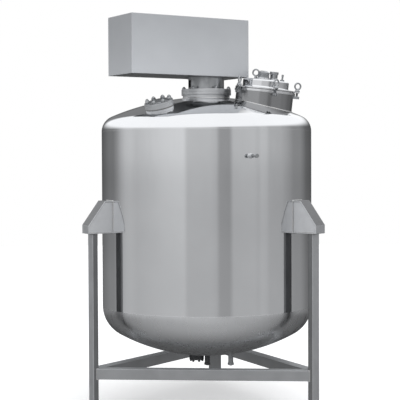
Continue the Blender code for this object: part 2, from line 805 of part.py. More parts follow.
def make_probe(shell_space):
    turn = at_azimuth(0.0, PROBE_AZIMUTH, PROBE_Z) @ Matrix.Rotation(math.pi / 2, 4, "X")
    frame = make_empty("probe_axis", turn, VESSEL)
    boss_end = SHELL_RADIUS + PROBE_BOSS_LENGTH
    ends = (SHELL_RADIUS - OVERCUT, boss_end)
    boss = make_rod("probe_boss", PROBE_BOSS_RADIUS, *ends, BRUSHED, frame, steps=16)
    boolean(boss, shell_space, "DIFFERENCE")
    tip = SHELL_RADIUS + PROBE_LENGTH
    knob = tip - PROBE_KNOB_LENGTH
    profile = (
        (0.0, tip),
        (PROBE_KNOB_RADIUS, tip),
        (PROBE_KNOB_RADIUS, knob),
        (PROBE_STEM_RADIUS, knob),
        (PROBE_STEM_RADIUS, boss_end + GAP),
        (0.0, boss_end + GAP),
    )
    make_turned("probe_head", profile, DARK, frame, steps=16)


def make_drain(bottom_space):
    """A pad under the bottom head, beside its middle, closed by a blind cover."""
    frame = make_empty("drain_axis", Matrix.Translation((-DRAIN_OFFSET, 0, 0)), VESSEL)
    ends = (DRAIN_PAD_BOTTOM_Z, BOTTOM_APEX_Z + OUTLET_TRIM)
    pad = make_ring("drain_pad", DRAIN_BORE, DRAIN_RADIUS, *ends, BRUSHED, frame, 28)
    boolean(pad, bottom_space, "DIFFERENCE")
    ends = (DRAIN_COVER_BOTTOM_Z, DRAIN_PAD_BOTTOM_Z - GAP)
    make_rod("drain_cover", DRAIN_RADIUS, *ends, DARK, frame, steps=28)


def make_outlet(name, azimuth, from_axis, neck_low, cap_low, bottom_space):
    """A short neck under the bottom head, closed by a cap."""
    frame = make_empty(name + "_axis", at_azimuth(from_axis, azimuth), VESSEL)
    ends = (neck_low, BOTTOM_APEX_Z + OUTLET_TRIM)
    neck = make_ring(name, OUTLET_RADIUS - OUTLET_WALL, OUTLET_RADIUS, *ends, BRUSHED, frame, 16)
    boolean(neck, bottom_space, "DIFFERENCE")
    make_rod(name + "_cap", OUTLET_CAP_RADIUS, cap_low, neck_low - GAP, DARK, frame, steps=16)


def make_shell_space():
    """The space inside the shell, with the gap round it, which trims what is welded to it."""
    ends = (BOTTOM_SEAM_Z, TOP_SEAM_Z)
    space = make_rod("shell_space", SHELL_RADIUS + GAP, *ends, DARK, VESSEL, steps=BODY_STEPS)
    return as_cutter(space)


def main():
    make_body()
    shell_space = make_shell_space()
    make_frame(shell_space)
    head_space = make_envelope(
        "top_head_space", TOP_CROWN_RADIUS, TOP_KNUCKLE_RADIUS, TOP_SEAM_Z + GAP, 1
    )
    bottom_space = make_envelope(
        "bottom_head_space", BOTTOM_CROWN_RADIUS, BOTTOM_KNUCKLE_RADIUS, BOTTOM_SEAM_Z - GAP, -1
    )
    make_drive(head_space)
    make_hand_hole(head_space)
    make_manway(head_space)
    make_probe(shell_space)
    make_drain(bottom_space)
    for name, sizes in OUTLETS.items():
        make_outlet(name, *sizes, bottom_space)


main()
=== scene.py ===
"""The looks of a stirred stainless process vessel on a three-legged frame.

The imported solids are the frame. Round pieces are turned again in finer steps, plate pieces get
rounded edges, and studs, screws, eye bolts and weld beads are added. Metres, +Z up, floor at z = 0,
front towards -Y. Azimuths run from -Y towards +X, in degrees.
"""

import math

import bmesh
import bpy
from mathutils import Matrix, Vector


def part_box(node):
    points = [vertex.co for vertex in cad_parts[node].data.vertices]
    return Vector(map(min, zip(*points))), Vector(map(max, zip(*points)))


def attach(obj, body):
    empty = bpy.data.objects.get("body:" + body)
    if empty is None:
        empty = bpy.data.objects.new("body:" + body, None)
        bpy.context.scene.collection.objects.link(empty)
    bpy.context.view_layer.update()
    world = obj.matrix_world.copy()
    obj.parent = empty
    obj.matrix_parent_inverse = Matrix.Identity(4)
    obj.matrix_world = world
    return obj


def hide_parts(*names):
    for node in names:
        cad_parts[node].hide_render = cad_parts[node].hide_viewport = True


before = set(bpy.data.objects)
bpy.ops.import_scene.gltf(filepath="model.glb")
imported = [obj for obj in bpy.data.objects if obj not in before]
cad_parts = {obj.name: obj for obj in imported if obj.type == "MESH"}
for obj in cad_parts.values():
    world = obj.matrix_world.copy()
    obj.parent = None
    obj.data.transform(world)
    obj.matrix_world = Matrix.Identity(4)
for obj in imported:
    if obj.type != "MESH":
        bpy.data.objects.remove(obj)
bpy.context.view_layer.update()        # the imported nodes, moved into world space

bl_info = {
    "name": "Stirred Process Vessel",
    "version": (1, 0, 0),
    "blender": (4, 5, 0),
    "location": "View3D > Sidebar > Vessel",
    "description": "Builds the finished surfaces of a stainless process vessel around its solids",
    "category": "Add Mesh",
}

BODY = "root"

# The shell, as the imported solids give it
SHELL_LOW, SHELL_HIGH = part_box("shell")
SHELL_RADIUS = (SHELL_HIGH.x - SHELL_LOW.x) / 2
BOTTOM_SEAM_Z = SHELL_LOW.z
TOP_SEAM_Z = SHELL_HIGH.z
VESSEL = Matrix.Translation((0.0, (SHELL_LOW.y + SHELL_HIGH.y) / 2, 0.0))
WALL = 0.006
GAP = 0.0003
BACK_SEAM_AZIMUTH = 152.0
SEAM_SINK = 0.85

# Angles, in degrees, from which a profile's corner is rounded, a solid's edge is rounded, and
# shading breaks on pieces and on weld beads
CORNER_FROM = 12.0
SHARP_FROM = 25.0
BREAK_FROM = 35.0
BEAD_BREAK_FROM = 60.0
# The most that one rounding takes of an edge, and the distance within which points merge
ROUNDING_SHARE = 0.45
MERGE_DISTANCE = 0.00002

# Radii of edges, faces round what has no setting of its own, and how far cutters reach
CUTTER_EDGE = 0.0001
FINE_EDGE = 0.0008
SLIGHT_EDGE = 0.001
EDGE = 0.0012
SOFT_EDGE = 0.0015
BORE_STEPS = 96
BORE_REACH = 0.1
MANWAY_BORE_REACH = 0.25
FITTING_STEPS = 64
OUTLET_STEPS = 48
RING_STEPS = 48
BAR_STEPS = 14
BEAD_STEPS = 8
RIPPLE_POINTS = 4
HERE = Matrix.Identity(4)

# The heads: one arc over the middle and a tighter one at the rim
TOP_CROWN_RADIUS = 1.50
TOP_KNUCKLE_RADIUS = 0.100
BOTTOM_CROWN_RADIUS = 1.13
BOTTOM_KNUCKLE_RADIUS = 0.190
CROWN_POINTS = 36
KNUCKLE_POINTS = 22

# Lugs, legs and rails, by azimuth; a leg stands at each end of a rail's span
SIDES = {"left": -60.0, "right": 60.0, "rear": 180.0}
RAILS = {"front": 0.0, "right": 120.0, "left": -120.0}
HALF_SPAN = 60.0
LUG_LOW, LUG_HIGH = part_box("rear_lug")
LUG_BOTTOM_Z = LUG_LOW.z
LUG_TOP_Z = LUG_HIGH.z
LUG_REACH = LUG_HIGH.y - VESSEL.translation.y
LUG_WIDTH = LUG_HIGH.x - LUG_LOW.x
LUG_PLATE = 0.008
LUG_SHELF = 0.700
LUG_NOSE = 0.050
GUSSET_INSET = 0.004
LUG_STEPS = 8
LUG_SINK = 0.002
LEG_LOW, LEG_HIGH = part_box("rear_leg")
LEG_WIDTH = LEG_HIGH.x - LEG_LOW.x
LEG_DEPTH = LEG_HIGH.y - LEG_LOW.y
LEG_CENTRE = (LEG_HIGH.y + LEG_LOW.y) / 2 - VESSEL.translation.y
RAIL_LOW, RAIL_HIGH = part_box("front_rail")
RAIL_WIDTH = RAIL_HIGH.y - RAIL_LOW.y
FOOT_TOP_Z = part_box("rear_foot")[1].z

# The drive on the top head
PAD_RADIUS = 0.146
PAD_TOP_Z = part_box("drive_pad")[1].z
FLANGE_RADIUS = 0.154
NECK_RADIUS = 0.111
NECK_BORE = NECK_RADIUS - 0.008
NECK_COLLAR_RADIUS = 0.127
NECK_COLLAR_THICKNESS = 0.007
DRIVE_BORE = 0.060
SHAFT_RADIUS = 0.024
SHAFT_COLLAR_RADIUS = 0.0324
SHAFT_COLLAR = 0.014
SEAL_RADIUS = 0.082
SLOT_WIDTH = 0.056
SLOT_HEIGHT = 0.044
SLOT_TURN = 21.0
SLOT_ROUNDING = 0.004
FLANGE_STUD_CIRCLE = 0.139
COVER_TURN = 35.5
COVER_OFFSET = -0.193
COVER_LENGTH = 0.820
COVER_WIDTH = 0.303
COVER_BOTTOM_Z, COVER_TOP_Z = (corner.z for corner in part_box("drive_cover"))
SCREW_INSET = 0.016

# The hand-hole
HAND_HOLE_AZIMUTH = -33.0
HAND_HOLE_FROM_AXIS = 0.460
HAND_HOLE_RADIUS = 0.086
HAND_HOLE_BORE = 0.056
HAND_HOLE_PAD = 0.020
HAND_HOLE_COVER = 0.014
HAND_HOLE_STUD_CIRCLE = 0.0715
HAND_HOLE_STUD_TURN = 16.5
HAND_HOLE_STEP = 0.002

# The manway, in a frame whose origin is in the middle of the rim's top face
MANWAY_AZIMUTH = 80.0
MANWAY_FROM_AXIS = 0.372
MANWAY_RIM_Z = 1.902
MANWAY_LEAN = 6.5
MANWAY_NECK_RADIUS = 0.176
MANWAY_BORE = MANWAY_NECK_RADIUS - 0.005
RIM_RADIUS = 0.186
RIM_THICKNESS = 0.014
GASKET_RADIUS = 0.181
GASKET_THICKNESS = 0.003
LID_LOW = GASKET_THICKNESS + 2 * GAP
LID_EDGE_RADIUS = 0.183
LID_EDGE = 0.008
LID_RADIUS = 0.141
LID_HEIGHT = 0.052
LID_WALL = 0.004
LID_ROUNDING = 0.012
LID_TOP = LID_LOW + LID_EDGE + LID_HEIGHT
BOLT_AZIMUTHS = (92.0, 20.0, -52.0, -142.0)
BOLT_CENTRE = 0.197
BOLT_RADIUS = 0.007
PIN_RADIUS = 0.0042
BOSS_RADIUS = 0.0078
EAR_WIDTH = 0.030
EAR_CHEEK = EAR_WIDTH / 2 - BOLT_RADIUS - 0.0005
EAR_HEIGHT = 0.016
EAR_TOP = 0.0155
NUT_RADIUS = 0.016
NUT_LOW = LID_LOW + LID_EDGE + GAP
NUT_HIGH = NUT_LOW + 0.018
THREAD_PITCH = 0.002
THREAD_ROOT = 0.86
WASHER_SHARE = 0.62
EYE_RADIUS = 0.019
EYE_BAR = 0.005
EYE_STOP = 24.0
HINGE_AZIMUTH = 164.0
HINGE_WIDTH = 0.046
HINGE_REACH = RIM_RADIUS + 0.023
HINGE_PIN_RADIUS = 0.0055

# Fittings on the lid, each with its azimuth and its distance from the lid's middle first, then
# the radius of its base, the radius of its body and its height
LID_FITTINGS = {
    "lamp": (-43.0, 0.027, 0.040, 0.036, 0.054),
    "sight_glass": (124.0, 0.053, 0.031, 0.027, 0.056),
}
FITTING_BASE = 0.012
LAMP_RIBS = 5
PANE_RADIUS = 0.019
PANE_THICKNESS = 0.005
PANE_DEPTH = 0.008
# The vent: the same two, the radius of its cap, the radius of its foot and its height
VENT = (90.0, 0.098, 0.0065, 0.013, 0.044)
# The lifting eye: the same two, and the height and the radius of its stem
LID_EYE = (-114.0, 0.074, 0.028, 0.008)

# The probe, and the outlets by azimuth and distance from the axis
PROBE_AZIMUTH = 27.0
PROBE_Z = 1.499
PROBE_BOSS_RADIUS = 0.014
PROBE_BOSS_LENGTH = 0.022
PROBE_LENGTH = 0.085
PROBE_KNOB_LENGTH = 0.020
PROBE_KNOB_RADIUS = 0.012
PROBE_STEM_RADIUS = 0.005
DRAIN_OFFSET = 0.067
DRAIN_RADIUS = 0.0455
DRAIN_BORE = 0.025
DRAIN_STUD_CIRCLE = 0.036
OUTLETS = {"middle_outlet": (0.0, 0.0), "side_outlet": (85.0, 0.148)}
OUTLET_RADIUS = 0.016
OUTLET_BORE = OUTLET_RADIUS - 0.003
OUTLET_CAP_RADIUS = 0.0195

# The studio's walls as bands of light: azimuth and brightness a little below the horizon
STUDIO_BANDS = (
    (-180, 0.06), (-157, 0.075), (-142, 0.11), (-128, 0.16), (-117, 0.17), (-109, 0.26),
    (-101, 0.42), (-94, 0.52), (-87, 0.55), (-76, 0.51), (-60, 0.57), (-42, 0.65),
    (-20.5, 0.69), (-16.5, 0.52), (8, 0.52), (14, 0.48), (18, 0.31), (28.5, 0.30), (32.5, 0.49),
    (56, 0.51), (61, 0.47), (65, 0.53), (71, 0.50), (75, 0.42), (92, 0.40), (104, 0.31),
    (112, 0.24), (126, 0.23), (134, 0.17), (142, 0.11), (158, 0.08), (180, 0.06),
)
# How the walls change with height: the contrast about a middle level, and a brighter upper part
WALL_LEVEL = 0.52
WALL_HEIGHTS = (-0.09, 0.025)
WALL_CONTRASTS = (0.58, 0.96)
UPPER_EDGE = (-0.016, 0.014)
UPPER_GAIN = 1.24
# Where the walls end and the light from below begins
LOWER_EDGE = (-0.155, -0.25)
# The light that comes up from below, from the front (0) to the back (1) of the studio
STUDIO_FLOOR = (
    (0.0, 0.60), (0.04, 0.55), (0.12, 0.46), (0.25, 0.44), (0.33, 0.39), (0.45, 0.32),
    (0.6, 0.26), (0.7, 0.19), (0.82, 0.13), (0.92, 0.08), (1.0, 0.04),
)
# The ceiling begins at these heights, lower to the left than to the right, except round one
# darker opening at the back
CEILING_EDGE = (0.06, 0.30)
CEILING_SLANT = 0.14
OPENING_AXIS = (-0.05, 0.905, 0.42)
OPENING_EDGE = (0.86, 0.93)
OPENING_LEVEL = 0.24
OPENING_SIDE = (0.10, 0.02)
# The side from which the fill light is stronger, and by how much
FILL_AXIS = (0.8, -0.5, -0.33)
FILL_SLANT = 0.85
STUDIO_COLOUR = (0.975, 0.985, 1.0, 1.0)


class VesselSizes(bpy.types.PropertyGroup):
    """Sizes of what is added to the solids"""

    body_steps: bpy.props.IntProperty(
        name="Body steps", description="Faces round the shell and the heads", default=320, min=56
    )
    fitting_steps: bpy.props.IntProperty(
        name="Fitting steps", description="Faces round flanges, necks and lids", default=128, min=24
    )
    small_steps: bpy.props.IntProperty(
        name="Small steps", description="Faces round studs, pins and rings", default=32, min=12
    )
    plate_rounding: bpy.props.FloatProperty(
        name="Plate rounding", description="Radius of a plate's edges", default=0.0015, unit="LENGTH"
    )
    tube_rounding: bpy.props.FloatProperty(
        name="Tube rounding", description="Radius of a box section's edges", default=0.005, unit="LENGTH"
    )
    sheet_rounding: bpy.props.FloatProperty(
        name="Sheet rounding", description="Radius of the drive cover's folds", default=0.003, unit="LENGTH"
    )
    weld_radius: bpy.props.FloatProperty(
        name="Weld radius", description="Radius of a fillet weld", default=0.003, unit="LENGTH"
    )
    weld_pitch: bpy.props.FloatProperty(
        name="Weld pitch", description="Length of one ripple of a weld", default=0.004, unit="LENGTH"
    )
    seam_radius: bpy.props.FloatProperty(
        name="Seam radius", description="Bar radius of a ground seam", default=0.0018, unit="LENGTH"
    )
    flange_studs: bpy.props.IntProperty(
        name="Flange studs", description="Studs round the drive flange", default=6, min=4
    )
    hand_hole_studs: bpy.props.IntProperty(
        name="Hand-hole studs", description="Studs round the hand-hole", default=8, min=4
    )
    cover_screws: bpy.props.IntProperty(
        name="Cover screws", description="Screws under the drive cover", default=22, min=4
    )


class VesselFinish(bpy.types.PropertyGroup):
    """Colours and roughness of the surfaces"""

    polished_tint: bpy.props.FloatVectorProperty(
        name="Polished steel", description="Colour of the shell and heads", subtype="COLOR",
        default=(0.76, 0.765, 0.775), min=0.0, max=1.0,
    )
    polished_roughness: bpy.props.FloatProperty(
        name="Polished roughness", description="Blur of the shell's mirror images", subtype="FACTOR",
        default=0.07, min=0.0, max=1.0,
    )
    brushed_tint: bpy.props.FloatVectorProperty(
        name="Brushed steel", description="Colour of lugs, legs and rails", subtype="COLOR",
        default=(0.76, 0.77, 0.785), min=0.0, max=1.0,
    )
    satin_tint: bpy.props.FloatVectorProperty(
        name="Satin sheet", description="Colour of the drive cover", subtype="COLOR",
        default=(0.365, 0.375, 0.39), min=0.0, max=1.0,
    )
    satin_metal: bpy.props.FloatProperty(
        name="Satin sheet's mirror", description="Share of the light that the cover mirrors",
        subtype="FACTOR", default=0.25, min=0.0, max=1.0,
    )
    machined_tint: bpy.props.FloatVectorProperty(
        name="Machined steel", description="Colour of flanges, nuts and bolts", subtype="COLOR",
        default=(0.40, 0.41, 0.42), min=0.0, max=1.0,
    )


class VesselStudio(bpy.types.PropertyGroup):
    """Floor, light and camera"""

    floor_radius: bpy.props.FloatProperty(
        name="Floor radius", description="Radius of the floor", default=14.0, unit="LENGTH"
    )
    floor_tint: bpy.props.FloatVectorProperty(
        name="Floor", description="Colour of the floor", subtype="COLOR",
        default=(0.86, 0.86, 0.86), min=0.0, max=1.0,
    )
    overhead: bpy.props.FloatProperty(
        name="Overhead", description="Brightness of the light overhead", default=1.22, min=0.0
    )
    fill: bpy.props.FloatProperty(
        name="Fill", description="Brightness of the light that falls on the floor", default=1.35, min=0.0
    )
    floor_glow: bpy.props.FloatProperty(
        name="Floor glow", description="Light that comes through the floor", default=0.36, min=0.0
    )
    lens: bpy.props.FloatProperty(
        name="Lens", description="Focal length for a sensor 36 mm wide", default=108.0, min=1.0
    )
    camera_azimuth: bpy.props.FloatProperty(
        name="Camera azimuth", description="Side from which the camera looks, in degrees", default=3.9591
    )
    camera_distance: bpy.props.FloatProperty(
        name="Camera distance", description="From the vessel's axis", default=7.4803, unit="LENGTH"
    )
    camera_height: bpy.props.FloatProperty(
        name="Camera height", description="Over the floor", default=1.45487, unit="LENGTH"
    )
    camera_aim: bpy.props.FloatVectorProperty(
        name="Camera aim", description="Yaw, pitch down and roll off the axis, in degrees",
        default=(-0.31809, 1.73041, -0.24071),
    )


# Places on the vessel


def arc_angle(crown, knuckle):
    """Angle from the vertical at which a head's two arcs meet."""
    return math.asin((SHELL_RADIUS - knuckle) / (crown - knuckle))


def head_height(crown, knuckle):
    return crown - (crown - knuckle) * math.cos(arc_angle(crown, knuckle))


TOP_APEX_Z = TOP_SEAM_Z + GAP + head_height(TOP_CROWN_RADIUS, TOP_KNUCKLE_RADIUS)
BOTTOM_APEX_Z = BOTTOM_SEAM_Z - GAP - head_height(BOTTOM_CROWN_RADIUS, BOTTOM_KNUCKLE_RADIUS)


def heights(node):
    """The lowest and the highest z of a CAD node."""
    return tuple(corner.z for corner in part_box(node))


def about(axis, degrees):
    return Matrix.Rotation(math.radians(degrees), 4, axis)


def lifted(place, height):
    return place @ Matrix.Translation((0.0, 0.0, height))


def placed(place, points):
    return [place @ Vector(point) for point in points]


def at_azimuth(from_axis, azimuth, height=0.0):
    """An upright frame at a distance from the axis, with local -Y pointing outwards."""
    angle = math.radians(azimuth)
    spot = Vector((from_axis * math.sin(angle), -from_axis * math.cos(angle), height))
    return VESSEL @ Matrix.Translation(spot) @ about("Z", azimuth)


def over_head(from_axis, azimuth):
    """The frame of a fitting that stands square on the top head."""
    lean = math.asin(from_axis / TOP_CROWN_RADIUS)
    height = TOP_APEX_Z - TOP_CROWN_RADIUS * (1 - math.cos(lean))
    return at_azimuth(from_axis, azimuth, height) @ Matrix.Rotation(lean, 4, "X")


def manway_at(azimuth=MANWAY_AZIMUTH, from_middle=0.0, height=0.0):
    """A frame on the manway, turned to an azimuth of the vessel."""
    middle = at_azimuth(MANWAY_FROM_AXIS, MANWAY_AZIMUTH, MANWAY_RIM_Z)
    turned = middle @ about("X", MANWAY_LEAN) @ about("Z", azimuth - MANWAY_AZIMUTH)
    return turned @ Matrix.Translation((0.0, -from_middle, height))


def circle(radius, height=0.0, points=96):
    angles = [math.tau * step / points for step in range(points)]
    return [(radius * math.cos(angle), radius * math.sin(angle), height) for angle in angles]


def ring_on_sphere(place, radius, top, points=96):
    """The loop where a round neck of a frame meets the top or the bottom head."""
    side = 1 if top else -1
    sphere = TOP_CROWN_RADIUS if top else BOTTOM_CROWN_RADIUS
    apex = TOP_APEX_Z if top else BOTTOM_APEX_Z
    centre = VESSEL @ Vector((0.0, 0.0, apex - side * sphere))
    axis = (place.to_3x3() @ Vector((0.0, 0.0, 1.0))).normalized()
    loop = []
    for start in placed(place, circle(radius, 0.0, points)):
        along = axis.dot(start - centre)
        off = (start - centre).length_squared - sphere**2
        loop.append(start + axis * (side * math.sqrt(along**2 - off) - along))
    return loop


# Shapes


def rounded(profile, radius, closed=False, points=4):
    """A profile whose corners are rounded off, as far as its edges have room."""
    count = len(profile)
    made = []
    for index, corner in enumerate(profile):
        corner = Vector(corner)
        if not closed and index in (0, count - 1):
            made.append(corner)
            continue
        before = Vector(profile[index - 1]) - corner
        after = Vector(profile[(index + 1) % count]) - corner
        if before.angle(-after) < math.radians(CORNER_FROM):
            made.append(corner)
            continue
        reach = min(radius, ROUNDING_SHARE * min(before.length, after.length))
        start = corner + before.normalized() * reach
        end = corner + after.normalized() * reach
        for step in range(points + 1):
            share = step / points
            bend = start.lerp(corner, share).lerp(corner.lerp(end, share), share)
            made.append(bend)
    return [tuple(point) for point in made]


def arc(middle, radius, first, last, points):
    """Points of an arc about middle, from one angle to another, in degrees."""
    made = []
    for step in range(points + 1):
        angle = math.radians(first + (last - first) * step / points)
        made.append((middle[0] + radius * math.cos(angle), middle[1] + radius * math.sin(angle)))
    return made


def joined(shape, rings, closed=False):
    """Faces from each ring of points to the next, where a ring may be a single point."""
    steps = max(len(ring) for ring in rings)
    rings = [[shape.verts.new(spot) for spot in ring] for ring in rings]
    after = rings[1:] + rings[:1] if closed else rings[1:]
    faces = []
    for upper, lower in zip(rings, after):
        for step in range(steps):
            corners = [upper[step % len(upper)], upper[(step + 1) % len(upper)]]
            corners += [lower[(step + 1) % len(lower)], lower[step % len(lower)]]
            corners = list(dict.fromkeys(corners))
            if len(corners) > 2:
                faces.append(shape.faces.new(corners))
    bmesh.ops.recalc_face_normals(shape, faces=faces)


def turn(shape, profile, steps, place=VESSEL, closed=False):
    """Turns a profile of (radius, height) points about the place's Z, into shape."""
    rings = []
    for radius, height in profile:
        rings.append(placed(place, circle(radius, height, 1 if radius < 1e-6 else steps)))
    joined(shape, rings, closed)


def lathed(profile, steps, place=VESSEL, closed=False):
    """A new shape with one turned profile in it."""
    shape = bmesh.new()
    turn(shape, profile, steps, place, closed)
    return shape


def disc_profile(radius, low, high, rounding):
    """The profile of a solid disc or pin."""
    return rounded([(0.0, high), (radius, high), (radius, low), (0.0, low)], rounding)


def ring_profile(inner, outer, low, high, rounding):
    """The closed profile of a ring."""
    return rounded([(outer, high), (outer, low), (inner, low), (inner, high)], rounding, True)


def bevel(shape, edges, rounding, segments=2):
    """Rounds edges off. Faces made later in the same shape would have no fixed order."""
    bmesh.ops.bevel(
        shape, geom=edges, offset=rounding, segments=segments, profile=0.5, affect="EDGES",
        clamp_overlap=True,
    )


def put_in(shape, part, place):
    """Adds a part, a shape of its own, to a shape at a place."""
    bmesh.ops.transform(part, matrix=place, verts=part.verts)
    take_in(shape, mesh_of("part", part))


def block(shape, size, centre, place, rounding, segments=2):
    """A box with rounded edges, by its size and centre in the place's frame."""
    box = bmesh.new()
    bmesh.ops.create_cube(box, size=1.0)
    bmesh.ops.scale(box, vec=size, verts=box.verts)
    bevel(box, box.edges[:], rounding, segments)
    put_in(shape, box, place @ Matrix.Translation(centre))


def extruded(shape, outline, width, place, rounding, offset=0.0):
    """An outline of (out, up) points, drawn in a lug's frame and made a plate of a width across it."""
    plate = bmesh.new()
    left = [plate.verts.new((offset - width / 2, -out, up)) for out, up in outline]
    right = [plate.verts.new((offset + width / 2, -out, up)) for out, up in outline]
    faces = [plate.faces.new(left), plate.faces.new(right[::-1])]
    for index in range(len(outline)):
        after = (index + 1) % len(outline)
        faces.append(plate.faces.new((left[index], right[index], right[after], left[after])))
    bmesh.ops.recalc_face_normals(plate, faces=faces)
    bevel(plate, plate.edges[:], rounding)
    put_in(shape, plate, place)


def rounded_copy(shape, node, rounding, segments=2):
    """A copy of a node's solid with its sharp edges rounded."""
    copy = bmesh.new()
    copy.from_mesh(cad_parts[node].data)
    bmesh.ops.remove_doubles(copy, verts=copy.verts, dist=MERGE_DISTANCE)
    flat = math.radians(1)
    bmesh.ops.dissolve_limit(copy, angle_limit=flat, verts=copy.verts, edges=copy.edges)
    sharp = [edge for edge in copy.edges if edge.calc_face_angle(0.0) > math.radians(SHARP_FROM)]
    bevel(copy, sharp, rounding, segments)
    take_in(shape, mesh_of(node + "_copy", copy))


def torus(shape, radius, bar, place):
    """A round bar bent to a ring about the place's Z."""
    profile = arc((radius, 0.0), bar, 0.0, 360.0 - 360.0 / BAR_STEPS, BAR_STEPS - 1)
    turn(shape, profile, RING_STEPS, place, closed=True)


def mesh_of(name, shape):
    mesh = bpy.data.meshes.new(name)
    shape.to_mesh(mesh)
    shape.free()
    return mesh


def take_in(shape, mesh):
    """Adds a mesh to a shape and removes it."""
    shape.from_mesh(mesh)
    bpy.data.meshes.remove(mesh)


def linked_object(name, data):
    made = bpy.data.objects.new(name, data)
    bpy.context.scene.collection.objects.link(made)
    return made


def drop(*objects):
    """Removes scratch objects and their meshes."""
    for old in objects:
        mesh = old.data
        bpy.data.objects.remove(old, do_unlink=True)
        bpy.data.meshes.remove(mesh)


def modified(mesh, *changes):
    """The mesh after modifiers, each given as its kind, its settings and its node inputs."""
    holder = linked_object("holder", mesh)
    for kind, settings, inputs in changes:
        modifier = holder.modifiers.new("change", kind)
        for name, value in settings.items():
            setattr(modifier, name, value)
        for identifier, value in inputs.items():
            modifier[identifier] = value
    bpy.context.view_layer.update()
    graph = bpy.context.evaluated_depsgraph_get()
    made = bpy.data.meshes.new_from_object(holder.evaluated_get(graph))
    holder.modifiers.clear()
    drop(holder)
    return made


def carved(shape, cutters):
    """The mesh of a shape after cutters, each a shape too, are taken out of it."""
    knives = [linked_object("knife", mesh_of("knife", cutter)) for cutter in cutters]
    cuts = [("BOOLEAN", {"operation": "DIFFERENCE", "object": knife}, {}) for knife in knives]
    mesh = modified(mesh_of("target", shape), *cuts)
    drop(*knives)
    return mesh


def new_piece(name, shape, finish, node=None, sharp=BREAK_FROM):
    """A finished piece from a shape or a mesh, which may take the place of a CAD node."""
    mesh = shape if isinstance(shape, bpy.types.Mesh) else mesh_of(name, shape)
    mesh.materials.clear()
    mesh.materials.append(finish)
    mesh.shade_smooth()
    mesh.set_sharp_from_angle(angle=math.radians(sharp))
    # Normals follow the large faces, so that flat faces stay flat beside rounded edges
    mesh = modified(mesh, ("WEIGHTED_NORMAL", {"keep_sharp": True}, {}))
    mesh.name = name
    piece = linked_object(name, mesh)
    if node:
        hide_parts(node)
    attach(piece, BODY)
    return piece


def turned_piece(name, node, profile, steps, finish, place=VESSEL, closed=False):
    """A piece that is one turned profile."""
    new_piece(name, lathed(profile, steps, place, closed), finish, node)


def copied_piece(name, node, rounding, finish, segments=2):
    """A piece that is a node's own solid with rounded edges."""
    shape = bmesh.new()
    rounded_copy(shape, node, rounding, segments)
    return new_piece(name, shape, finish, node)


def second_finish(piece, finish, chosen):
    """Another finish for those faces of a piece that are chosen by their normals."""
    piece.data.materials.append(finish)
    for face in piece.data.polygons:
        if chosen(face.normal):
            face.material_index = 1


# Node trees


def new_tree(name, inputs):
    """An empty tree of geometry nodes with a path, named inputs and one output."""
    tree = bpy.data.node_groups.new(name, "GeometryNodeTree")
    tree.interface.new_socket("Path", in_out="INPUT", socket_type="NodeSocketGeometry")
    for label, kind, value in inputs:
        socket = tree.interface.new_socket(label, in_out="INPUT", socket_type=kind)
        if value is not None:
            socket.default_value = value
    tree.interface.new_socket("Geometry", in_out="OUTPUT", socket_type="NodeSocketGeometry")
    return Nodes(tree)


class Nodes:
    """Adds and joins the nodes of one tree."""

    def __init__(self, tree):
        self.tree = tree

    def add(self, kind, inputs=None, **settings):
        node = self.tree.nodes.new(kind)
        for name, value in settings.items():
            setattr(node, name, value)
        for name, value in (inputs or {}).items():
            self.feed(node.inputs[name], value)
        return node

    def feed(self, socket, value):
        if isinstance(value, bpy.types.NodeSocket):
            self.tree.links.new(value, socket)
        else:
            socket.default_value = value

    def math(self, operation, *values):
        node = self.add("ShaderNodeMath", operation=operation)
        for socket, value in zip(node.inputs, values):
            self.feed(socket, value)
        return node.outputs[0]

    def dot(self, first, second):
        node = self.add("ShaderNodeVectorMath", operation="DOT_PRODUCT")
        self.feed(node.inputs[0], first)
        self.feed(node.inputs[1], second)
        return node.outputs["Value"]

    def spread(self, value, low, high, first=0.3, last=0.7, kind="LINEAR"):
        names = {"Value": value, "From Min": first, "From Max": last, "To Min": low, "To Max": high}
        return self.add("ShaderNodeMapRange", names, interpolation_type=kind).outputs["Result"]

    def mixed(self, first, second, share):
        kept = self.math("MULTIPLY", first, self.math("SUBTRACT", 1.0, share))
        return self.math("ADD", kept, self.math("MULTIPLY", second, share))

    def end(self, geometry, finish):
        """The last three nodes of a tree of geometry nodes."""
        real = self.add("GeometryNodeRealizeInstances", {"Geometry": geometry})
        named = {"Geometry": real.outputs["Geometry"], "Material": finish}
        last = self.add("GeometryNodeSetMaterial", named)
        self.add("NodeGroupOutput", {"Geometry": last.outputs["Geometry"]})
        return self.tree


# Geometry nodes: fasteners along a path, and weld beads


def fastener_tree(name):
    """Puts one fastener after another along a path, each turned to follow it."""
    count, fastener = ("Count", "NodeSocketInt", 8), ("Fastener", "NodeSocketObject", None)
    nodes = new_tree(name, (count, fastener, ("Finish", "NodeSocketMaterial", None)))
    given = nodes.add("NodeGroupInput").outputs
    curve = nodes.add("GeometryNodeMeshToCurve", {"Mesh": given["Path"]}).outputs["Curve"]
    spaced = nodes.add("GeometryNodeResampleCurve", {"Curve": curve, "Count": given["Count"]})
    tangent = nodes.add("GeometryNodeInputTangent").outputs["Tangent"]
    turned = nodes.add(
        "FunctionNodeAlignRotationToVector", {"Vector": tangent}, axis="X", pivot_axis="Z"
    )
    kit = nodes.add("GeometryNodeObjectInfo", {"Object": given["Fastener"]})
    named = {"Points": spaced.outputs["Curve"], "Instance": kit.outputs["Geometry"]}
    named["Rotation"] = turned.outputs["Rotation"]
    stood = nodes.add("GeometryNodeInstanceOnPoints", named)
    return nodes.end(stood.outputs["Instances"], given["Finish"])


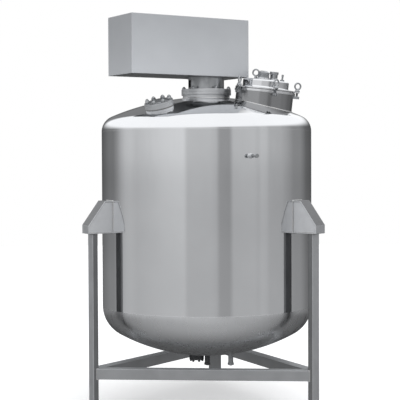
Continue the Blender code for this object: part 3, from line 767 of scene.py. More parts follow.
def weld_tree(name):
    """A bead along a path, whose radius swells once in each ripple."""
    sizes = (("Radius", 0.003), ("Pitch", 0.004), ("Ripple", 0.12))
    inputs = [(label, "NodeSocketFloat", value) for label, value in sizes]
    nodes = new_tree(name, (*inputs, ("Finish", "NodeSocketMaterial", None)))
    given = nodes.add("NodeGroupInput").outputs
    curve = nodes.add("GeometryNodeMeshToCurve", {"Mesh": given["Path"]}).outputs["Curve"]
    spacing = {"Curve": curve, "Length": nodes.math("DIVIDE", given["Pitch"], RIPPLE_POINTS)}
    spaced = nodes.add("GeometryNodeResampleCurve", spacing, mode="LENGTH").outputs["Curve"]
    along = nodes.add("GeometryNodeSplineParameter").outputs["Length"]
    turns = nodes.math("MULTIPLY", nodes.math("DIVIDE", along, given["Pitch"]), math.tau)
    swell = nodes.math("MULTIPLY", nodes.math("SINE", turns), given["Ripple"])
    named = {"Curve": spaced, "Radius": nodes.math("ADD", swell, 1.0)}
    bead = nodes.add("GeometryNodeSetCurveRadius", named).outputs["Curve"]
    bar = {"Resolution": BEAD_STEPS, "Radius": given["Radius"]}
    profile = nodes.add("GeometryNodeCurvePrimitiveCircle", bar).outputs["Curve"]
    named = {"Curve": bead, "Profile Curve": profile, "Fill Caps": True}
    solid = nodes.add("GeometryNodeCurveToMesh", named)
    return nodes.end(solid.outputs["Mesh"], given["Finish"])


def path_mesh(loops, closed=True):
    """Edges along each list of points."""
    shape = bmesh.new()
    for loop in loops:
        points = [shape.verts.new(point) for point in loop]
        for first, second in zip(points, points[1:]):
            shape.edges.new((first, second))
        if closed:
            shape.edges.new((points[-1], points[0]))
    return mesh_of("path", shape)


def grown(name, maker, mesh, values):
    """The plain mesh that a tree of geometry nodes makes of a path."""
    tree = bpy.data.node_groups.get(name) or maker(name)
    inputs = {}
    for item in tree.interface.items_tree:
        if item.item_type == "SOCKET" and item.name in values:
            inputs[item.identifier] = values[item.name]
    return modified(mesh, ("NODES", {"node_group": tree}, inputs))


def along_path(shape, loop, count, fastener, place):
    """Adds fasteners along a closed loop of a place's frame to shape."""
    kit = linked_object("fastener", fastener)
    values = {"Count": count, "Fastener": kit, "Finish": machined_finish()}
    mesh = grown("fasteners_along_path", fastener_tree, path_mesh([loop]), values)
    drop(kit)
    mesh.transform(place)
    take_in(shape, mesh)


def fasteners(name, loop, count, fastener, place):
    """A piece of fasteners, which takes the place of no node."""
    shape = bmesh.new()
    along_path(shape, loop, count, fastener, place)
    new_piece(name, shape, machined_finish())


def weld(name, loops, radius=None, finish=None, ripple=0.12, closed=True):
    """A piece of weld beads along loops in the row's frame."""
    sizes = bpy.context.scene.vessel_sizes
    finish = finish or weld_finish()
    values = {"Radius": radius or sizes.weld_radius, "Pitch": sizes.weld_pitch, "Ripple": ripple}
    mesh = grown("weld_bead", weld_tree, path_mesh(loops, closed), {**values, "Finish": finish})
    new_piece(name, mesh, finish, sharp=BEAD_BREAK_FROM)


# Surfaces


class Surface(Nodes):
    """One material while its nodes are being joined."""

    def __init__(self, name, metallic=1.0):
        self.material = bpy.data.materials.new(name)
        self.material.use_nodes = True
        super().__init__(self.material.node_tree)
        self.shader = self.tree.nodes["Principled BSDF"].inputs
        self.shader["Metallic"].default_value = metallic
        self.place = self.add("ShaderNodeTexCoord").outputs["Object"]

    def noise(self, scale, detail, vector=None):
        values = {"Vector": vector or self.place, "Scale": scale, "Detail": detail}
        return self.add("ShaderNodeTexNoise", values).outputs["Fac"]

    def streaks(self, stretch, detail, turned=0.0):
        """Noise drawn out along an axis of a frame that is turned about Z, in degrees."""
        turning = {"Vector": self.place, "Rotation": (0.0, 0.0, math.radians(turned))}
        along = self.add("ShaderNodeMapping", turning, vector_type="TEXTURE").outputs["Vector"]
        drawn = self.add("ShaderNodeMapping", {"Vector": along, "Scale": stretch})
        return self.noise(1.0, detail, drawn.outputs["Vector"])

    def ramp(self, value, colours, places=(0.3, 0.7)):
        """A colour between two, by a value."""
        node = self.add("ShaderNodeValToRGB", {"Fac": value})
        for element, colour, place in zip(node.color_ramp.elements, colours, places):
            element.position = place
            element.color = (*(min(1.0, part) for part in colour), 1.0)
        self.feed(self.shader["Base Color"], node.outputs["Color"])

    def tint(self, value, colour, contrast, shade=1.0):
        """A colour that varies a little with a value."""
        levels = (shade * (1 - contrast), shade * (1 + contrast))
        self.ramp(value, [[part * level for part in colour] for level in levels])

    def relief(self, height, strength, distance, **under):
        values = {"Height": height, "Strength": strength, "Distance": distance, **under}
        return self.add("ShaderNodeBump", values).outputs["Normal"]

    def skin(self, marks, rough, strength=0.0, depth=0.0003):
        """Blur and relief after fine marks, the last step of a material."""
        self.feed(self.shader["Roughness"], self.spread(marks, *rough))
        if strength:
            self.feed(self.shader["Normal"], self.relief(marks, strength, depth))
        return self.material


def made_once(usual_name):
    """Has a finish made when its name is first asked for, and given again after that."""

    def remembered(maker):
        def handed(name=usual_name, **values):
            return bpy.data.materials.get(name) or maker(name, **values)

        return handed

    return remembered


@made_once("polished_steel_finish")
def polished_finish(name, blur=1.0, shade=1.0):
    """Mirror polish: faint upright streaks, clouded tint and a slightly wavy plate."""
    looks = bpy.context.scene.vessel_finish
    surface = Surface(name)
    surface.tint(surface.noise(3.2, 4.0), looks.polished_tint, 0.03, shade)
    wavy = surface.relief(surface.streaks((5.0, 5.0, 0.5), 1.0), 0.05, 0.01)
    lines = surface.streaks((3.0, 3.0, 420.0), 2.0)
    surface.feed(surface.shader["Normal"], surface.relief(lines, 0.02, 0.0004, Normal=wavy))
    low = looks.polished_roughness * blur * 0.75
    return surface.skin(surface.streaks((34.0, 34.0, 0.7), 4.0), (low, low * 1.8))


@made_once("brushed_steel_finish")
def brushed_finish(name, turned=0.0, upright=False, shade=1.0):
    """Brushed plate with its grain along one direction."""
    surface = Surface(name)
    surface.tint(surface.noise(9.0, 4.0), bpy.context.scene.vessel_finish.brushed_tint, 0.07, shade)
    grain = (260.0, 260.0, 5.0) if upright else (5.0, 260.0, 260.0)
    return surface.skin(surface.streaks(grain, 3.0, turned), (0.34, 0.48), 0.12, 0.0006)


@made_once("satin_sheet_finish")
def satin_finish(name):
    """Blasted sheet, which scatters more than it mirrors, with painted light that makes it lighter towards
    its lower edge.
    """
    looks = bpy.context.scene.vessel_finish
    surface = Surface(name, looks.satin_metal)
    height = surface.add("ShaderNodeSeparateXYZ", {"Vector": surface.place}).outputs["Z"]
    # Painted light: the colour is lighter towards the sheet's lower edge, where light thrown up from the
    # bright top head falls on it
    painted_bounce_light = surface.spread(height, 0.62, 0.18, COVER_BOTTOM_Z, COVER_TOP_Z)
    clouds = surface.math("MULTIPLY", surface.noise(5.0, 3.0), 0.2)
    surface.tint(surface.math("ADD", painted_bounce_light, clouds), looks.satin_tint, 0.14)
    grain = surface.streaks((4.0, 300.0, 300.0), 3.0, COVER_TURN)
    return surface.skin(grain, (0.29, 0.33), 0.02, 0.0005)


@made_once("machined_steel_finish")
def machined_finish(name, shade=1.0):
    """Darker turned and forged steel with fine marks in all directions."""
    surface = Surface(name)
    tint = bpy.context.scene.vessel_finish.machined_tint
    surface.tint(surface.noise(24.0, 4.0), tint, 0.14, shade)
    return surface.skin(surface.noise(900.0, 2.0), (0.2, 0.36), 0.10)


@made_once("weld_metal")
def weld_finish(name, shade=1.0):
    """Bare weld metal, a little straw and blue from the heat."""
    surface = Surface(name)
    colours = ((0.58, 0.60, 0.64), (0.74, 0.71, 0.66))
    colours = [[part * shade for part in colour] for colour in colours]
    surface.ramp(surface.noise(60.0, 2.0), colours, (0.0, 1.0))
    return surface.skin(surface.noise(1200.0, 2.0), (0.26, 0.42), 0.15)


@made_once("dusty_top_finish")
def dusty_finish(name):
    """Brushed steel under a little dust, for faces that look up."""
    surface = Surface(name, 0.3)
    dust = surface.noise(14.0, 4.0)
    surface.tint(dust, (0.42, 0.43, 0.44), 0.06)
    return surface.skin(dust, (0.55, 0.7))


@made_once("rubber_seal_finish")
def rubber_finish(name):
    """Dark seal with a dull, slightly dusty skin."""
    surface = Surface(name, 0.0)
    dust = surface.noise(70.0, 4.0)
    surface.tint(dust, (0.05, 0.05, 0.055), 0.35)
    return surface.skin(dust, (0.5, 0.75), 0.2, 0.0005)


@made_once("sight_pane_finish")
def pane_finish(name):
    """Thick, slightly green glass over a dark chamber."""
    surface = Surface(name, 0.0)
    surface.shader["Transmission Weight"].default_value = 0.7
    surface.shader["IOR"].default_value = 1.5
    film = surface.noise(90.0, 3.0)
    surface.tint(film, (0.22, 0.28, 0.27), 0.12)
    return surface.skin(film, (0.02, 0.09))


# Vessel body


def dish_profile(crown, knuckle, inset):
    """Points of a head from its middle to its rim, as (radius, height over the rim)."""
    meet = arc_angle(crown, knuckle)
    middle = (0.0, -(crown - knuckle) * math.cos(meet))
    over = arc(middle, crown - inset, 90.0, 90.0 - math.degrees(meet), CROWN_POINTS)[:-1]
    corner = (SHELL_RADIUS - knuckle, 0.0)
    return over + arc(corner, knuckle - inset, 90.0 - math.degrees(meet), 0.0, KNUCKLE_POINTS)


def dished_head(crown, knuckle, rim_z, up, steps):
    """A head that rises (1) or hangs (-1) from its rim."""
    walls = dish_profile(crown, knuckle, 0.0) + dish_profile(crown, knuckle, WALL)[::-1]
    return lathed([(radius, rim_z + up * height) for radius, height in walls], steps)


def bore_cutter(radius, place, steps=BORE_STEPS, reach=BORE_REACH):
    return lathed(disc_profile(radius, -reach, reach, CUTTER_EDGE), steps, place)


def make_body(sizes):
    steel = polished_finish()
    steps = sizes.body_steps
    wall = ring_profile(SHELL_RADIUS - WALL, SHELL_RADIUS, *heights("shell"), FINE_EDGE)
    turned_piece("polished_shell", "shell", wall, steps, steel, closed=True)

    top = dished_head(TOP_CROWN_RADIUS, TOP_KNUCKLE_RADIUS, TOP_SEAM_Z + GAP, 1, steps)
    cutters = [
        bore_cutter(DRIVE_BORE, lifted(VESSEL, TOP_APEX_Z)),
        bore_cutter(HAND_HOLE_BORE, over_head(HAND_HOLE_FROM_AXIS, HAND_HOLE_AZIMUTH)),
        bore_cutter(MANWAY_BORE, manway_at(), sizes.fitting_steps, MANWAY_BORE_REACH),
    ]
    new_piece("polished_top_head", carved(top, cutters), steel, "top_head")

    bottom = dished_head(BOTTOM_CROWN_RADIUS, BOTTOM_KNUCKLE_RADIUS, BOTTOM_SEAM_Z - GAP, -1, steps)
    cutters = [bore_cutter(DRAIN_BORE, drain_place(BOTTOM_APEX_Z), FITTING_STEPS)]
    for azimuth, from_axis in OUTLETS.values():
        spot = at_azimuth(from_axis, azimuth, BOTTOM_APEX_Z)
        cutters.append(bore_cutter(OUTLET_BORE, spot, OUTLET_STEPS))
    ground = polished_finish("fine_ground_steel_finish", blur=4.2)
    new_piece("ground_bottom_head", carved(bottom, cutters), ground, "bottom_head")

    seam = SHELL_RADIUS - sizes.seam_radius * SEAM_SINK
    levels = (BOTTOM_SEAM_Z, TOP_SEAM_Z)
    loops = [placed(VESSEL, circle(seam, height, steps)) for height in levels]
    weld("ground_seams", loops, sizes.seam_radius, steel, 0.03)
    upright = placed(at_azimuth(seam, BACK_SEAM_AZIMUTH), [(0.0, 0.0, height) for height in levels])
    weld("upright_seam", [upright], sizes.seam_radius, steel, 0.03, False)


# Lugs, legs, feet and rails


def lug_outline(inset):
    """The lug's outline, or one inside it by the thickness of its plates, as (out, up) points."""
    root = math.sqrt(SHELL_RADIUS**2 - (LUG_WIDTH / 2) ** 2) - LUG_SINK
    nose_z = LUG_BOTTOM_Z + LUG_NOSE
    slope = math.atan2(LUG_TOP_Z - nose_z, LUG_REACH - LUG_SHELF)
    return [
        (root, LUG_BOTTOM_Z + inset),
        (LUG_REACH - inset, LUG_BOTTOM_Z + inset),
        (LUG_REACH - inset, nose_z - inset * math.tan((math.pi / 2 - slope) / 2)),
        (LUG_SHELF - inset * math.tan(slope / 2), LUG_TOP_Z - inset),
        (root, LUG_TOP_Z - inset),
    ]


def make_lug(side, azimuth, sizes):
    """A bent cover strip with a gusset let in on each side."""
    node = side + "_lug"
    place = at_azimuth(0.0, azimuth)
    inner = lug_outline(LUG_PLATE)
    strip = bmesh.new()
    extruded(strip, lug_outline(0.0) + inner[::-1], LUG_WIDTH, place, sizes.plate_rounding)
    # Painted shade: all but the upright faces of the strip get a much darker copy of the brushed steel,
    # standing in for the darker light the sloped face mirrors; the upright faces keep the plain brushed
    # steel
    shaded_strip = brushed_finish("painted_shade_strip_finish", upright=True, shade=0.22)
    piece = new_piece(node + "_strip", strip, shaded_strip, node)
    upright = brushed_finish("upright_brushed_finish", upright=True)
    second_finish(piece, upright, lambda normal: abs(normal.z) < 0.3)

    gussets = bmesh.new()
    corners = []
    for sign in (-1, 1):
        face = LUG_WIDTH / 2 - GUSSET_INSET
        across = sign * (face - LUG_PLATE / 2)
        extruded(gussets, inner, LUG_PLATE, place, sizes.plate_rounding / 2, across)
        corners.append(placed(place, [(sign * face, -out, up) for out, up in inner]))
    new_piece(node + "_gussets", gussets, brushed_finish(), node)
    weld(node + "_corner_welds", corners, sizes.weld_radius * 0.6, closed=False)

    across = [LUG_WIDTH * (step / LUG_STEPS - 0.5) for step in range(LUG_STEPS + 1)]
    loop = [(x, LUG_BOTTOM_Z) for x in across] + [(-x, LUG_TOP_Z) for x in across]
    on_shell = [(x, -math.sqrt(SHELL_RADIUS**2 - x**2), up) for x, up in loop]
    weld(node + "_shell_weld", [placed(place, on_shell)])


def rectangle(width, depth, centre, height=0.0):
    """The four corners of a loop round a centre (x, y)."""
    signs = ((-1, -1), (1, -1), (1, 1), (-1, 1))
    return [(centre[0] + x * width / 2, centre[1] + y * depth / 2, height) for x, y in signs]


def make_leg(side, azimuth, sizes):
    """A box section between its lug and its foot plate."""
    place = at_azimuth(0.0, azimuth)
    shape = bmesh.new()
    size = (LEG_WIDTH, LEG_DEPTH, LEG_HIGH.z - LEG_LOW.z)
    middle = (0.0, -LEG_CENTRE, (LEG_HIGH.z + LEG_LOW.z) / 2)
    block(shape, size, middle, place, sizes.tube_rounding, 4)
    upright = brushed_finish("upright_brushed_finish", upright=True)
    leg = new_piece(side + "_leg_section", shape, upright, side + "_leg")
    # Painted shade: the leg's narrow faces and its face towards the shell get a much darker copy of the
    # brushed steel than its outer face, standing in for the shade on them and for their dark image in the
    # shell
    shaded_sides = brushed_finish("painted_shade_side_finish", upright=True, shade=0.3)
    outwards = place.to_3x3() @ Vector((0.0, -1.0, 0.0))
    second_finish(leg, shaded_sides, lambda normal: normal.dot(outwards) < 0.6)
    copied_piece(side + "_foot_plate", side + "_foot", sizes.plate_rounding, brushed_finish())
    loops = []
    for height in (FOOT_TOP_Z, LUG_BOTTOM_Z):
        loops.append(placed(place, rectangle(LEG_WIDTH, LEG_DEPTH, (0.0, -LEG_CENTRE), height)))
    weld(side + "_leg_welds", loops)


def rail_end(sign):
    """Where a rail meets a leg, in plan: at its front face, at the leg's corner, at its back face."""
    turned = about("Z", HALF_SPAN * sign)
    spots = []
    for x, y in ((-sign, 1), (-sign, -1), (sign, 1)):
        spots.append(turned @ Vector((x * LEG_WIDTH / 2, -LEG_CENTRE + y * LEG_DEPTH / 2, 0.0)))
    corner, outer, far = spots
    front = -(LEG_CENTRE + RAIL_WIDTH) / 2
    first = corner.lerp(outer, (front - corner.y) / (outer.y - corner.y))
    last = corner.lerp(far, (front + RAIL_WIDTH - corner.y) / (far.y - corner.y))
    return first, corner, last


def make_rail(side, azimuth, sizes):
    node = side + "_rail"
    grain = brushed_finish(node + "_finish", turned=azimuth, shade=0.56)
    rail = copied_piece(node + "_section", node, sizes.tube_rounding * 0.8, grain, 3)
    second_finish(rail, dusty_finish(), lambda normal: normal.z > 0.6)
    loops = []
    for plan in (rail_end(-1), rail_end(1)):
        loop = [(spot.x, spot.y, RAIL_HIGH.z) for spot in plan]
        loop += [(spot.x, spot.y, RAIL_LOW.z) for spot in plan[::-1]]
        loops.append(placed(at_azimuth(0.0, azimuth), loop))
    weld(node + "_welds", loops)


# Fasteners


def hex_nut(shape, across_flats, low, high, place=HERE):
    """A nut with its corners turned off at both ends."""
    corner = across_flats / math.sqrt(3)
    nut = bmesh.new()
    bmesh.ops.create_cone(
        nut, cap_ends=True, segments=6, radius1=corner, radius2=corner, depth=high - low
    )
    rims = [edge for edge in nut.edges if abs(edge.verts[0].co.z - edge.verts[1].co.z) < 1e-6]
    bevel(nut, rims, (high - low) * 0.09, 1)
    put_in(shape, nut, lifted(place, (high + low) / 2))


def washer(across_flats, height, steps):
    profile = disc_profile(across_flats * WASHER_SHARE, 0.0, height, height * 0.3)
    return lathed(profile, steps, HERE)


def stud_mesh(across_flats, nut, stud_radius, stud_top):
    """A washer, a nut and the end of its stud, standing on z = 0."""
    low = nut * 0.16
    shape = washer(across_flats, low, 20)
    hex_nut(shape, across_flats, low, low + nut)
    turn(shape, disc_profile(stud_radius, low, stud_top, stud_radius * 0.25), 14, HERE)
    return mesh_of("stud", shape)


def cap_nut_mesh(across_flats, nut):
    """A washer and a six-sided nut with a domed cap, standing on z = 0."""
    low = nut * 0.12
    shape = washer(across_flats, low, 24)
    hex_nut(shape, across_flats, low, low + nut * 0.5)
    dome = arc((0.0, low + nut * 0.42), across_flats * 0.44, 88.0, 8.0, 6)
    turn(shape, [(0.0, dome[0][1]), *dome, (dome[-1][0], low), (0.0, low)], 20, HERE)
    return mesh_of("cap_nut", shape)


def screw_mesh(radius, height):
    """A domed screw head with a round socket, standing on z = 0."""
    socket = radius * 0.42
    profile = [(0.0, height * 0.4), (socket, height * 0.4), (socket, height)]
    profile += arc((0.0, -radius * 0.9), radius * 1.36, 68.0, 44.0, 4)
    return mesh_of("screw", lathed([*profile, (radius, 0.0), (0.0, 0.0)], 18, HERE))


def thread(shape, radius, low, high, place, steps):
    """A bolt's shank with ring-shaped threads."""
    root = radius * THREAD_ROOT
    profile = [(0.0, high)]
    for step in range(round((high - low) / THREAD_PITCH)):
        top = high - THREAD_PITCH * step
        profile += [(root, top), (radius, top - THREAD_PITCH / 2)]
    turn(shape, [*profile, (root, low), (0.0, low)], steps, place)


def eye_ring(shape, place, height, turned):
    """An upright ring over a place, turned about the place's Z."""
    upright = lifted(place, height) @ about("Z", turned) @ about("X", 90.0)
    torus(shape, EYE_RADIUS, EYE_BAR, upright)


# Drive


def make_drive(sizes):
    """The pad on the head, two flanges with their studs, and what stands between them."""
    steps = sizes.fitting_steps
    ground = brushed_finish("turned_flange_finish", shade=0.8)
    head_z = TOP_APEX_Z - TOP_CROWN_RADIUS + math.sqrt(TOP_CROWN_RADIUS**2 - PAD_RADIUS**2)
    outer = [(PAD_RADIUS, PAD_TOP_Z), (PAD_RADIUS, head_z - WALL / 2)]
    inner = [(DRIVE_BORE, TOP_APEX_Z - WALL / 2), (DRIVE_BORE, PAD_TOP_Z)]
    profile = rounded(outer + inner, SLIGHT_EDGE, True)
    turned_piece("turned_drive_pad", "drive_pad", profile, steps, ground, closed=True)
    weld("drive_pad_weld", [ring_on_sphere(VESSEL, PAD_RADIUS, True)])
    bores = {"drive_flange": DRIVE_BORE, "pedestal_flange": NECK_BORE}
    for node, bore in bores.items():
        profile = ring_profile(bore, FLANGE_RADIUS, *heights(node), EDGE)
        turned_piece("turned_" + node, node, profile, steps, ground, closed=True)
    make_pedestal(steps)
    make_shaft()
    top = lifted(VESSEL, heights("pedestal_flange")[1])
    nut = cap_nut_mesh(0.021, 0.018)
    fasteners("flange_studs", circle(FLANGE_STUD_CIRCLE), sizes.flange_studs, nut, top)


def make_pedestal(steps):
    """The neck with its collar, and a window through it."""
    low, high = heights("drive_pedestal")
    collar = high - NECK_COLLAR_THICKNESS
    profile = [(NECK_COLLAR_RADIUS, high), (NECK_COLLAR_RADIUS, collar), (NECK_RADIUS, collar)]
    profile += [(NECK_RADIUS, low), (NECK_BORE, low), (NECK_BORE, high)]
    neck = lathed(rounded(profile, SOFT_EDGE, True), steps, closed=True)
    window = bmesh.new()
    size = (3 * NECK_RADIUS, SLOT_WIDTH, SLOT_HEIGHT)
    middle = (0.0, 0.0, (low + collar) / 2)
    block(window, size, middle, VESSEL @ about("Z", SLOT_TURN), SLOT_ROUNDING, 3)
    new_piece("slotted_pedestal", carved(neck, [window]), machined_finish(), "drive_pedestal")
    weld("pedestal_weld", [placed(VESSEL, circle(NECK_RADIUS, low))])


def make_shaft():
    """The seal in the pedestal, and the stub of the shaft with a clamping collar."""
    low, high = heights("shaft_seal")
    step = (high + low) / 2
    raised = SEAL_RADIUS * 0.55
    profile = [(0.0, high), (raised, high), (raised, step)]
    profile += [(SEAL_RADIUS, step), (SEAL_RADIUS, low), (0.0, low)]
    seal = lathed(rounded(profile, SLIGHT_EDGE), FITTING_STEPS)
    screw = screw_mesh(0.006, 0.005)
    along_path(seal, circle(SEAL_RADIUS * 0.8), 8, screw, lifted(VESSEL, step))
    new_piece("bolted_shaft_seal", seal, brushed_finish(), "shaft_seal")
    low, high = heights("drive_shaft")
    collar = (low + 2 * SHAFT_COLLAR, low + SHAFT_COLLAR)
    profile = [(0.0, high), (SHAFT_RADIUS, high), (SHAFT_RADIUS, collar[0])]
    profile += [(SHAFT_COLLAR_RADIUS, height) for height in collar]
    profile += [(SHAFT_RADIUS, collar[1]), (SHAFT_RADIUS, low), (0.0, low)]
    shaft = rounded(profile, FINE_EDGE)
    turned_piece("shaft_with_collar", "drive_shaft", shaft, FITTING_STEPS, brushed_finish())


def make_cover(sizes):
    """The folded cover, the plate that closes it below and the screws that hold it."""
    copied_piece("folded_drive_cover", "drive_cover", sizes.sheet_rounding, satin_finish(), 3)
    darkened = machined_finish("dull_plate_finish", shade=0.6)
    copied_piece("rounded_base_plate", "drive_base_plate", SLIGHT_EDGE, darkened)
    below = lifted(VESSEL, heights("drive_base_plate")[0]) @ about("Z", COVER_TURN) @ about("X", 180.0)
    length, width = COVER_LENGTH - 2 * SCREW_INSET, COVER_WIDTH - 2 * SCREW_INSET
    loop = rectangle(length, width, (COVER_OFFSET, 0.0))
    fasteners("base_plate_screws", loop, sizes.cover_screws, screw_mesh(0.005, 0.003), below)


# Hand-hole


def make_hand_hole(sizes):
    """A pad on the head and a flat cover with a raised middle, held by cap nuts."""
    place = over_head(HAND_HOLE_FROM_AXIS, HAND_HOLE_AZIMUTH)
    steps = sizes.fitting_steps
    ground = brushed_finish("turned_cover_finish", shade=0.85)
    profile = ring_profile(HAND_HOLE_BORE, HAND_HOLE_RADIUS, -WALL, HAND_HOLE_PAD, EDGE)
    turned_piece("turned_hand_hole_pad", "hand_hole_pad", profile, steps, ground, place, True)
    low = HAND_HOLE_PAD + GAP
    high = low + HAND_HOLE_COVER
    step = high - HAND_HOLE_STEP
    raised = HAND_HOLE_RADIUS * 0.62
    profile = [(0.0, high), (raised, high), (raised + HAND_HOLE_STEP, step)]
    profile += [(HAND_HOLE_RADIUS, step), (HAND_HOLE_RADIUS, low), (0.0, low)]
    profile = rounded(profile, EDGE)
    turned_piece("turned_hand_hole_cover", "hand_hole_cover", profile, steps, ground, place)
    top = lifted(place, step) @ about("Z", HAND_HOLE_STUD_TURN)
    nut = cap_nut_mesh(0.023, 0.021)
    fasteners("hand_hole_studs", circle(HAND_HOLE_STUD_CIRCLE), sizes.hand_hole_studs, nut, top)
    # Painted shadow: the weld round the pad gets a much darker copy of the weld metal, standing in for the
    # shadow in the joint between the pad and the head
    shadowed_weld = weld_finish("painted_shadow_weld_metal", shade=0.3)
    weld("hand_hole_weld", [ring_on_sphere(place, HAND_HOLE_RADIUS, True)], 0.004, finish=shadowed_weld)


# Manway


def make_manway(sizes):
    steel = polished_finish()
    steps = sizes.fitting_steps
    place = manway_at()
    ground = polished_finish("ground_neck_finish", blur=1.8, shade=0.44)
    new_piece("turned_manway_neck", neck_on_head(place, steps), ground, "manway_neck")
    loop = ring_on_sphere(place, MANWAY_NECK_RADIUS, True, steps)
    weld("manway_neck_weld", [loop])
    rim = ring_profile(MANWAY_BORE, RIM_RADIUS, -RIM_THICKNESS, 0.0, SOFT_EDGE)
    turned_piece("turned_manway_rim", "manway_rim", rim, steps, steel, place, True)
    seal = ring_profile(MANWAY_BORE, GASKET_RADIUS, GAP, GAP + GASKET_THICKNESS, FINE_EDGE)
    dark = rubber_finish()
    turned_piece("moulded_manway_gasket", "manway_gasket", seal, steps, dark, place, True)
    make_lid(steps, place)
    for number, azimuth in enumerate(BOLT_AZIMUTHS, 1):
        make_swing_bolt(number, azimuth, sizes.small_steps)
    make_hinge(sizes.small_steps)


def neck_on_head(place, steps):
    """The manway's neck, whose lower end follows the top head a little way into its plate."""
    sink = place.to_3x3() @ Vector((0.0, 0.0, -WALL / 2))
    rings = []
    for radius in (MANWAY_NECK_RADIUS, MANWAY_BORE):
        rings.append(placed(place, circle(radius, -RIM_THICKNESS - GAP, steps)))
        rings.append([point + sink for point in ring_on_sphere(place, radius, True, steps)])
    outer_top, outer_low, inner_top, inner_low = rings
    shape = bmesh.new()
    joined(shape, [outer_top, outer_low, inner_low, inner_top], True)
    return shape


def cheeks(shape, place, near, far, height, middle_z, rounding, segments=2):
    """Two plates with room for a bolt between them, from near to far."""
    for side in (-1, 1):
        middle = (side * (EAR_WIDTH - EAR_CHEEK) / 2, -(near + far) / 2, middle_z)
        block(shape, (EAR_CHEEK, far - near, height), middle, place, rounding, segments)


def make_lid(steps, place):
    """A dish with a flat edge, and a forked ear on the edge for each bolt."""
    edge = LID_LOW + LID_EDGE
    inside = LID_RADIUS - LID_WALL
    outer = [(0.0, LID_TOP), (LID_RADIUS, LID_TOP), (LID_RADIUS, edge), (LID_EDGE_RADIUS, edge)]
    inner = [(inside, LID_LOW), (inside, LID_TOP - LID_WALL), (0.0, LID_TOP - LID_WALL)]
    crown = rounded(outer, LID_ROUNDING, points=8)[:-1]
    rim = rounded([crown[-1], outer[3], (LID_EDGE_RADIUS, LID_LOW), inner[0]], EDGE)[1:-1]
    lid = lathed(crown + rim + rounded(inner, LID_ROUNDING, points=6), steps, place)
    near, far = LID_EDGE_RADIUS - 0.006, BOLT_CENTRE + NUT_RADIUS * 0.85
    for azimuth in BOLT_AZIMUTHS:
        ear = manway_at(azimuth, 0.0, LID_LOW + LID_EDGE / 2)
        cheeks(lid, ear, near, far, LID_EDGE - 0.001, 0.0, EDGE)
    new_piece("domed_manway_lid", lid, polished_finish(), "manway_lid")


def make_swing_bolt(number, azimuth, steps):
    """A fork on the neck, the bolt in it, and a ring nut that clamps the lid."""
    shape = bmesh.new()
    ear_z = -EAR_TOP - EAR_HEIGHT / 2
    near, far = MANWAY_NECK_RADIUS - 0.001, BOLT_CENTRE + NUT_RADIUS
    cheeks(shape, manway_at(azimuth), near, far, EAR_HEIGHT, ear_z, 0.0018, 3)
    spot = manway_at(azimuth, BOLT_CENTRE)
    pin = lifted(spot, ear_z) @ about("Y", 90.0)
    half_pin = EAR_WIDTH / 2 + 0.0025
    turn(shape, disc_profile(PIN_RADIUS, -half_pin, half_pin, FINE_EDGE), steps, pin)
    turn(shape, disc_profile(BOSS_RADIUS, -BOLT_RADIUS, BOLT_RADIUS, 0.002), steps, pin)
    thread(shape, BOLT_RADIUS, ear_z, NUT_LOW + 0.002, spot, steps)
    profile = [(0.0, NUT_HIGH), (NUT_RADIUS * 0.62, NUT_HIGH), (NUT_RADIUS * 0.72, NUT_HIGH - 0.004)]
    profile += [(NUT_RADIUS * 0.9, NUT_LOW + 0.007), (NUT_RADIUS, NUT_LOW + 0.006)]
    profile += [(NUT_RADIUS, NUT_LOW), (0.0, NUT_LOW)]
    turn(shape, rounded(profile, 0.0016), steps, spot)
    eye_ring(shape, spot, NUT_HIGH - EYE_BAR / 2 + EYE_RADIUS, EYE_STOP * number - azimuth)
    new_piece(f"eye_bolt_{number}", shape, machined_finish(), f"swing_bolt_{number}")


def make_hinge(steps):
    """The bracket on the neck, the lid's arm and the pin through both."""
    copied_piece("hinge_bracket", "hinge_post", SOFT_EDGE, machined_finish())
    arm = bmesh.new()
    rounded_copy(arm, "lid_arm", 0.002, 3)
    pin = manway_at(HINGE_AZIMUTH, HINGE_REACH, NUT_LOW + 0.007) @ about("Y", 90.0)
    half = HINGE_WIDTH / 2 + 0.004
    turn(arm, disc_profile(HINGE_PIN_RADIUS, -half, half, SLIGHT_EDGE), steps, pin)
    for end in (-half, half):
        turn(arm, disc_profile(0.008, -0.002, 0.002, SLIGHT_EDGE), steps, lifted(pin, end))
    new_piece("hinge_arm_with_pin", arm, machined_finish(), "lid_arm")


# Fittings on the lid


def make_lid_fittings(sizes):
    low = LID_TOP + GAP
    top = low + FITTING_BASE
    makers = {"lamp": make_lamp, "sight_glass": make_sight_glass}
    for name, (azimuth, from_middle, base, body, height) in LID_FITTINGS.items():
        spot = manway_at(azimuth, from_middle)
        foot = lathed(disc_profile(base, low, top, SOFT_EDGE), FITTING_STEPS, spot)
        screw = screw_mesh(0.0018, 0.0016)
        along_path(foot, circle((base + body) / 2), 8, screw, lifted(spot, top))
        new_piece(f"screwed_{name}_base", foot, brushed_finish(), name + "_base")
        makers[name](spot, top + GAP, low + height, body)
    make_vent(low, sizes.small_steps)
    make_lid_eye(low, sizes.small_steps)


def make_lamp(spot, low, high, radius):
    """A lamp housing with cooling grooves and a domed cap."""
    profile = [(0.0, high), (radius * 0.55, high), (radius * 0.8, high - 0.004), (radius, high - 0.010)]
    groove = radius - 0.002
    ribs_top = high - 0.012
    pitch = (ribs_top - low - 0.004) / LAMP_RIBS
    for rib in range(LAMP_RIBS):
        top = ribs_top - rib * pitch
        profile += [(radius, top), (groove, top - pitch * 0.3)]
        profile += [(groove, top - pitch * 0.6), (radius, top - pitch * 0.9)]
    profile = rounded([*profile, (radius, low), (0.0, low)], FINE_EDGE, points=2)
    turned_piece("ribbed_lamp", "lamp", profile, FITTING_STEPS, machined_finish(), spot)


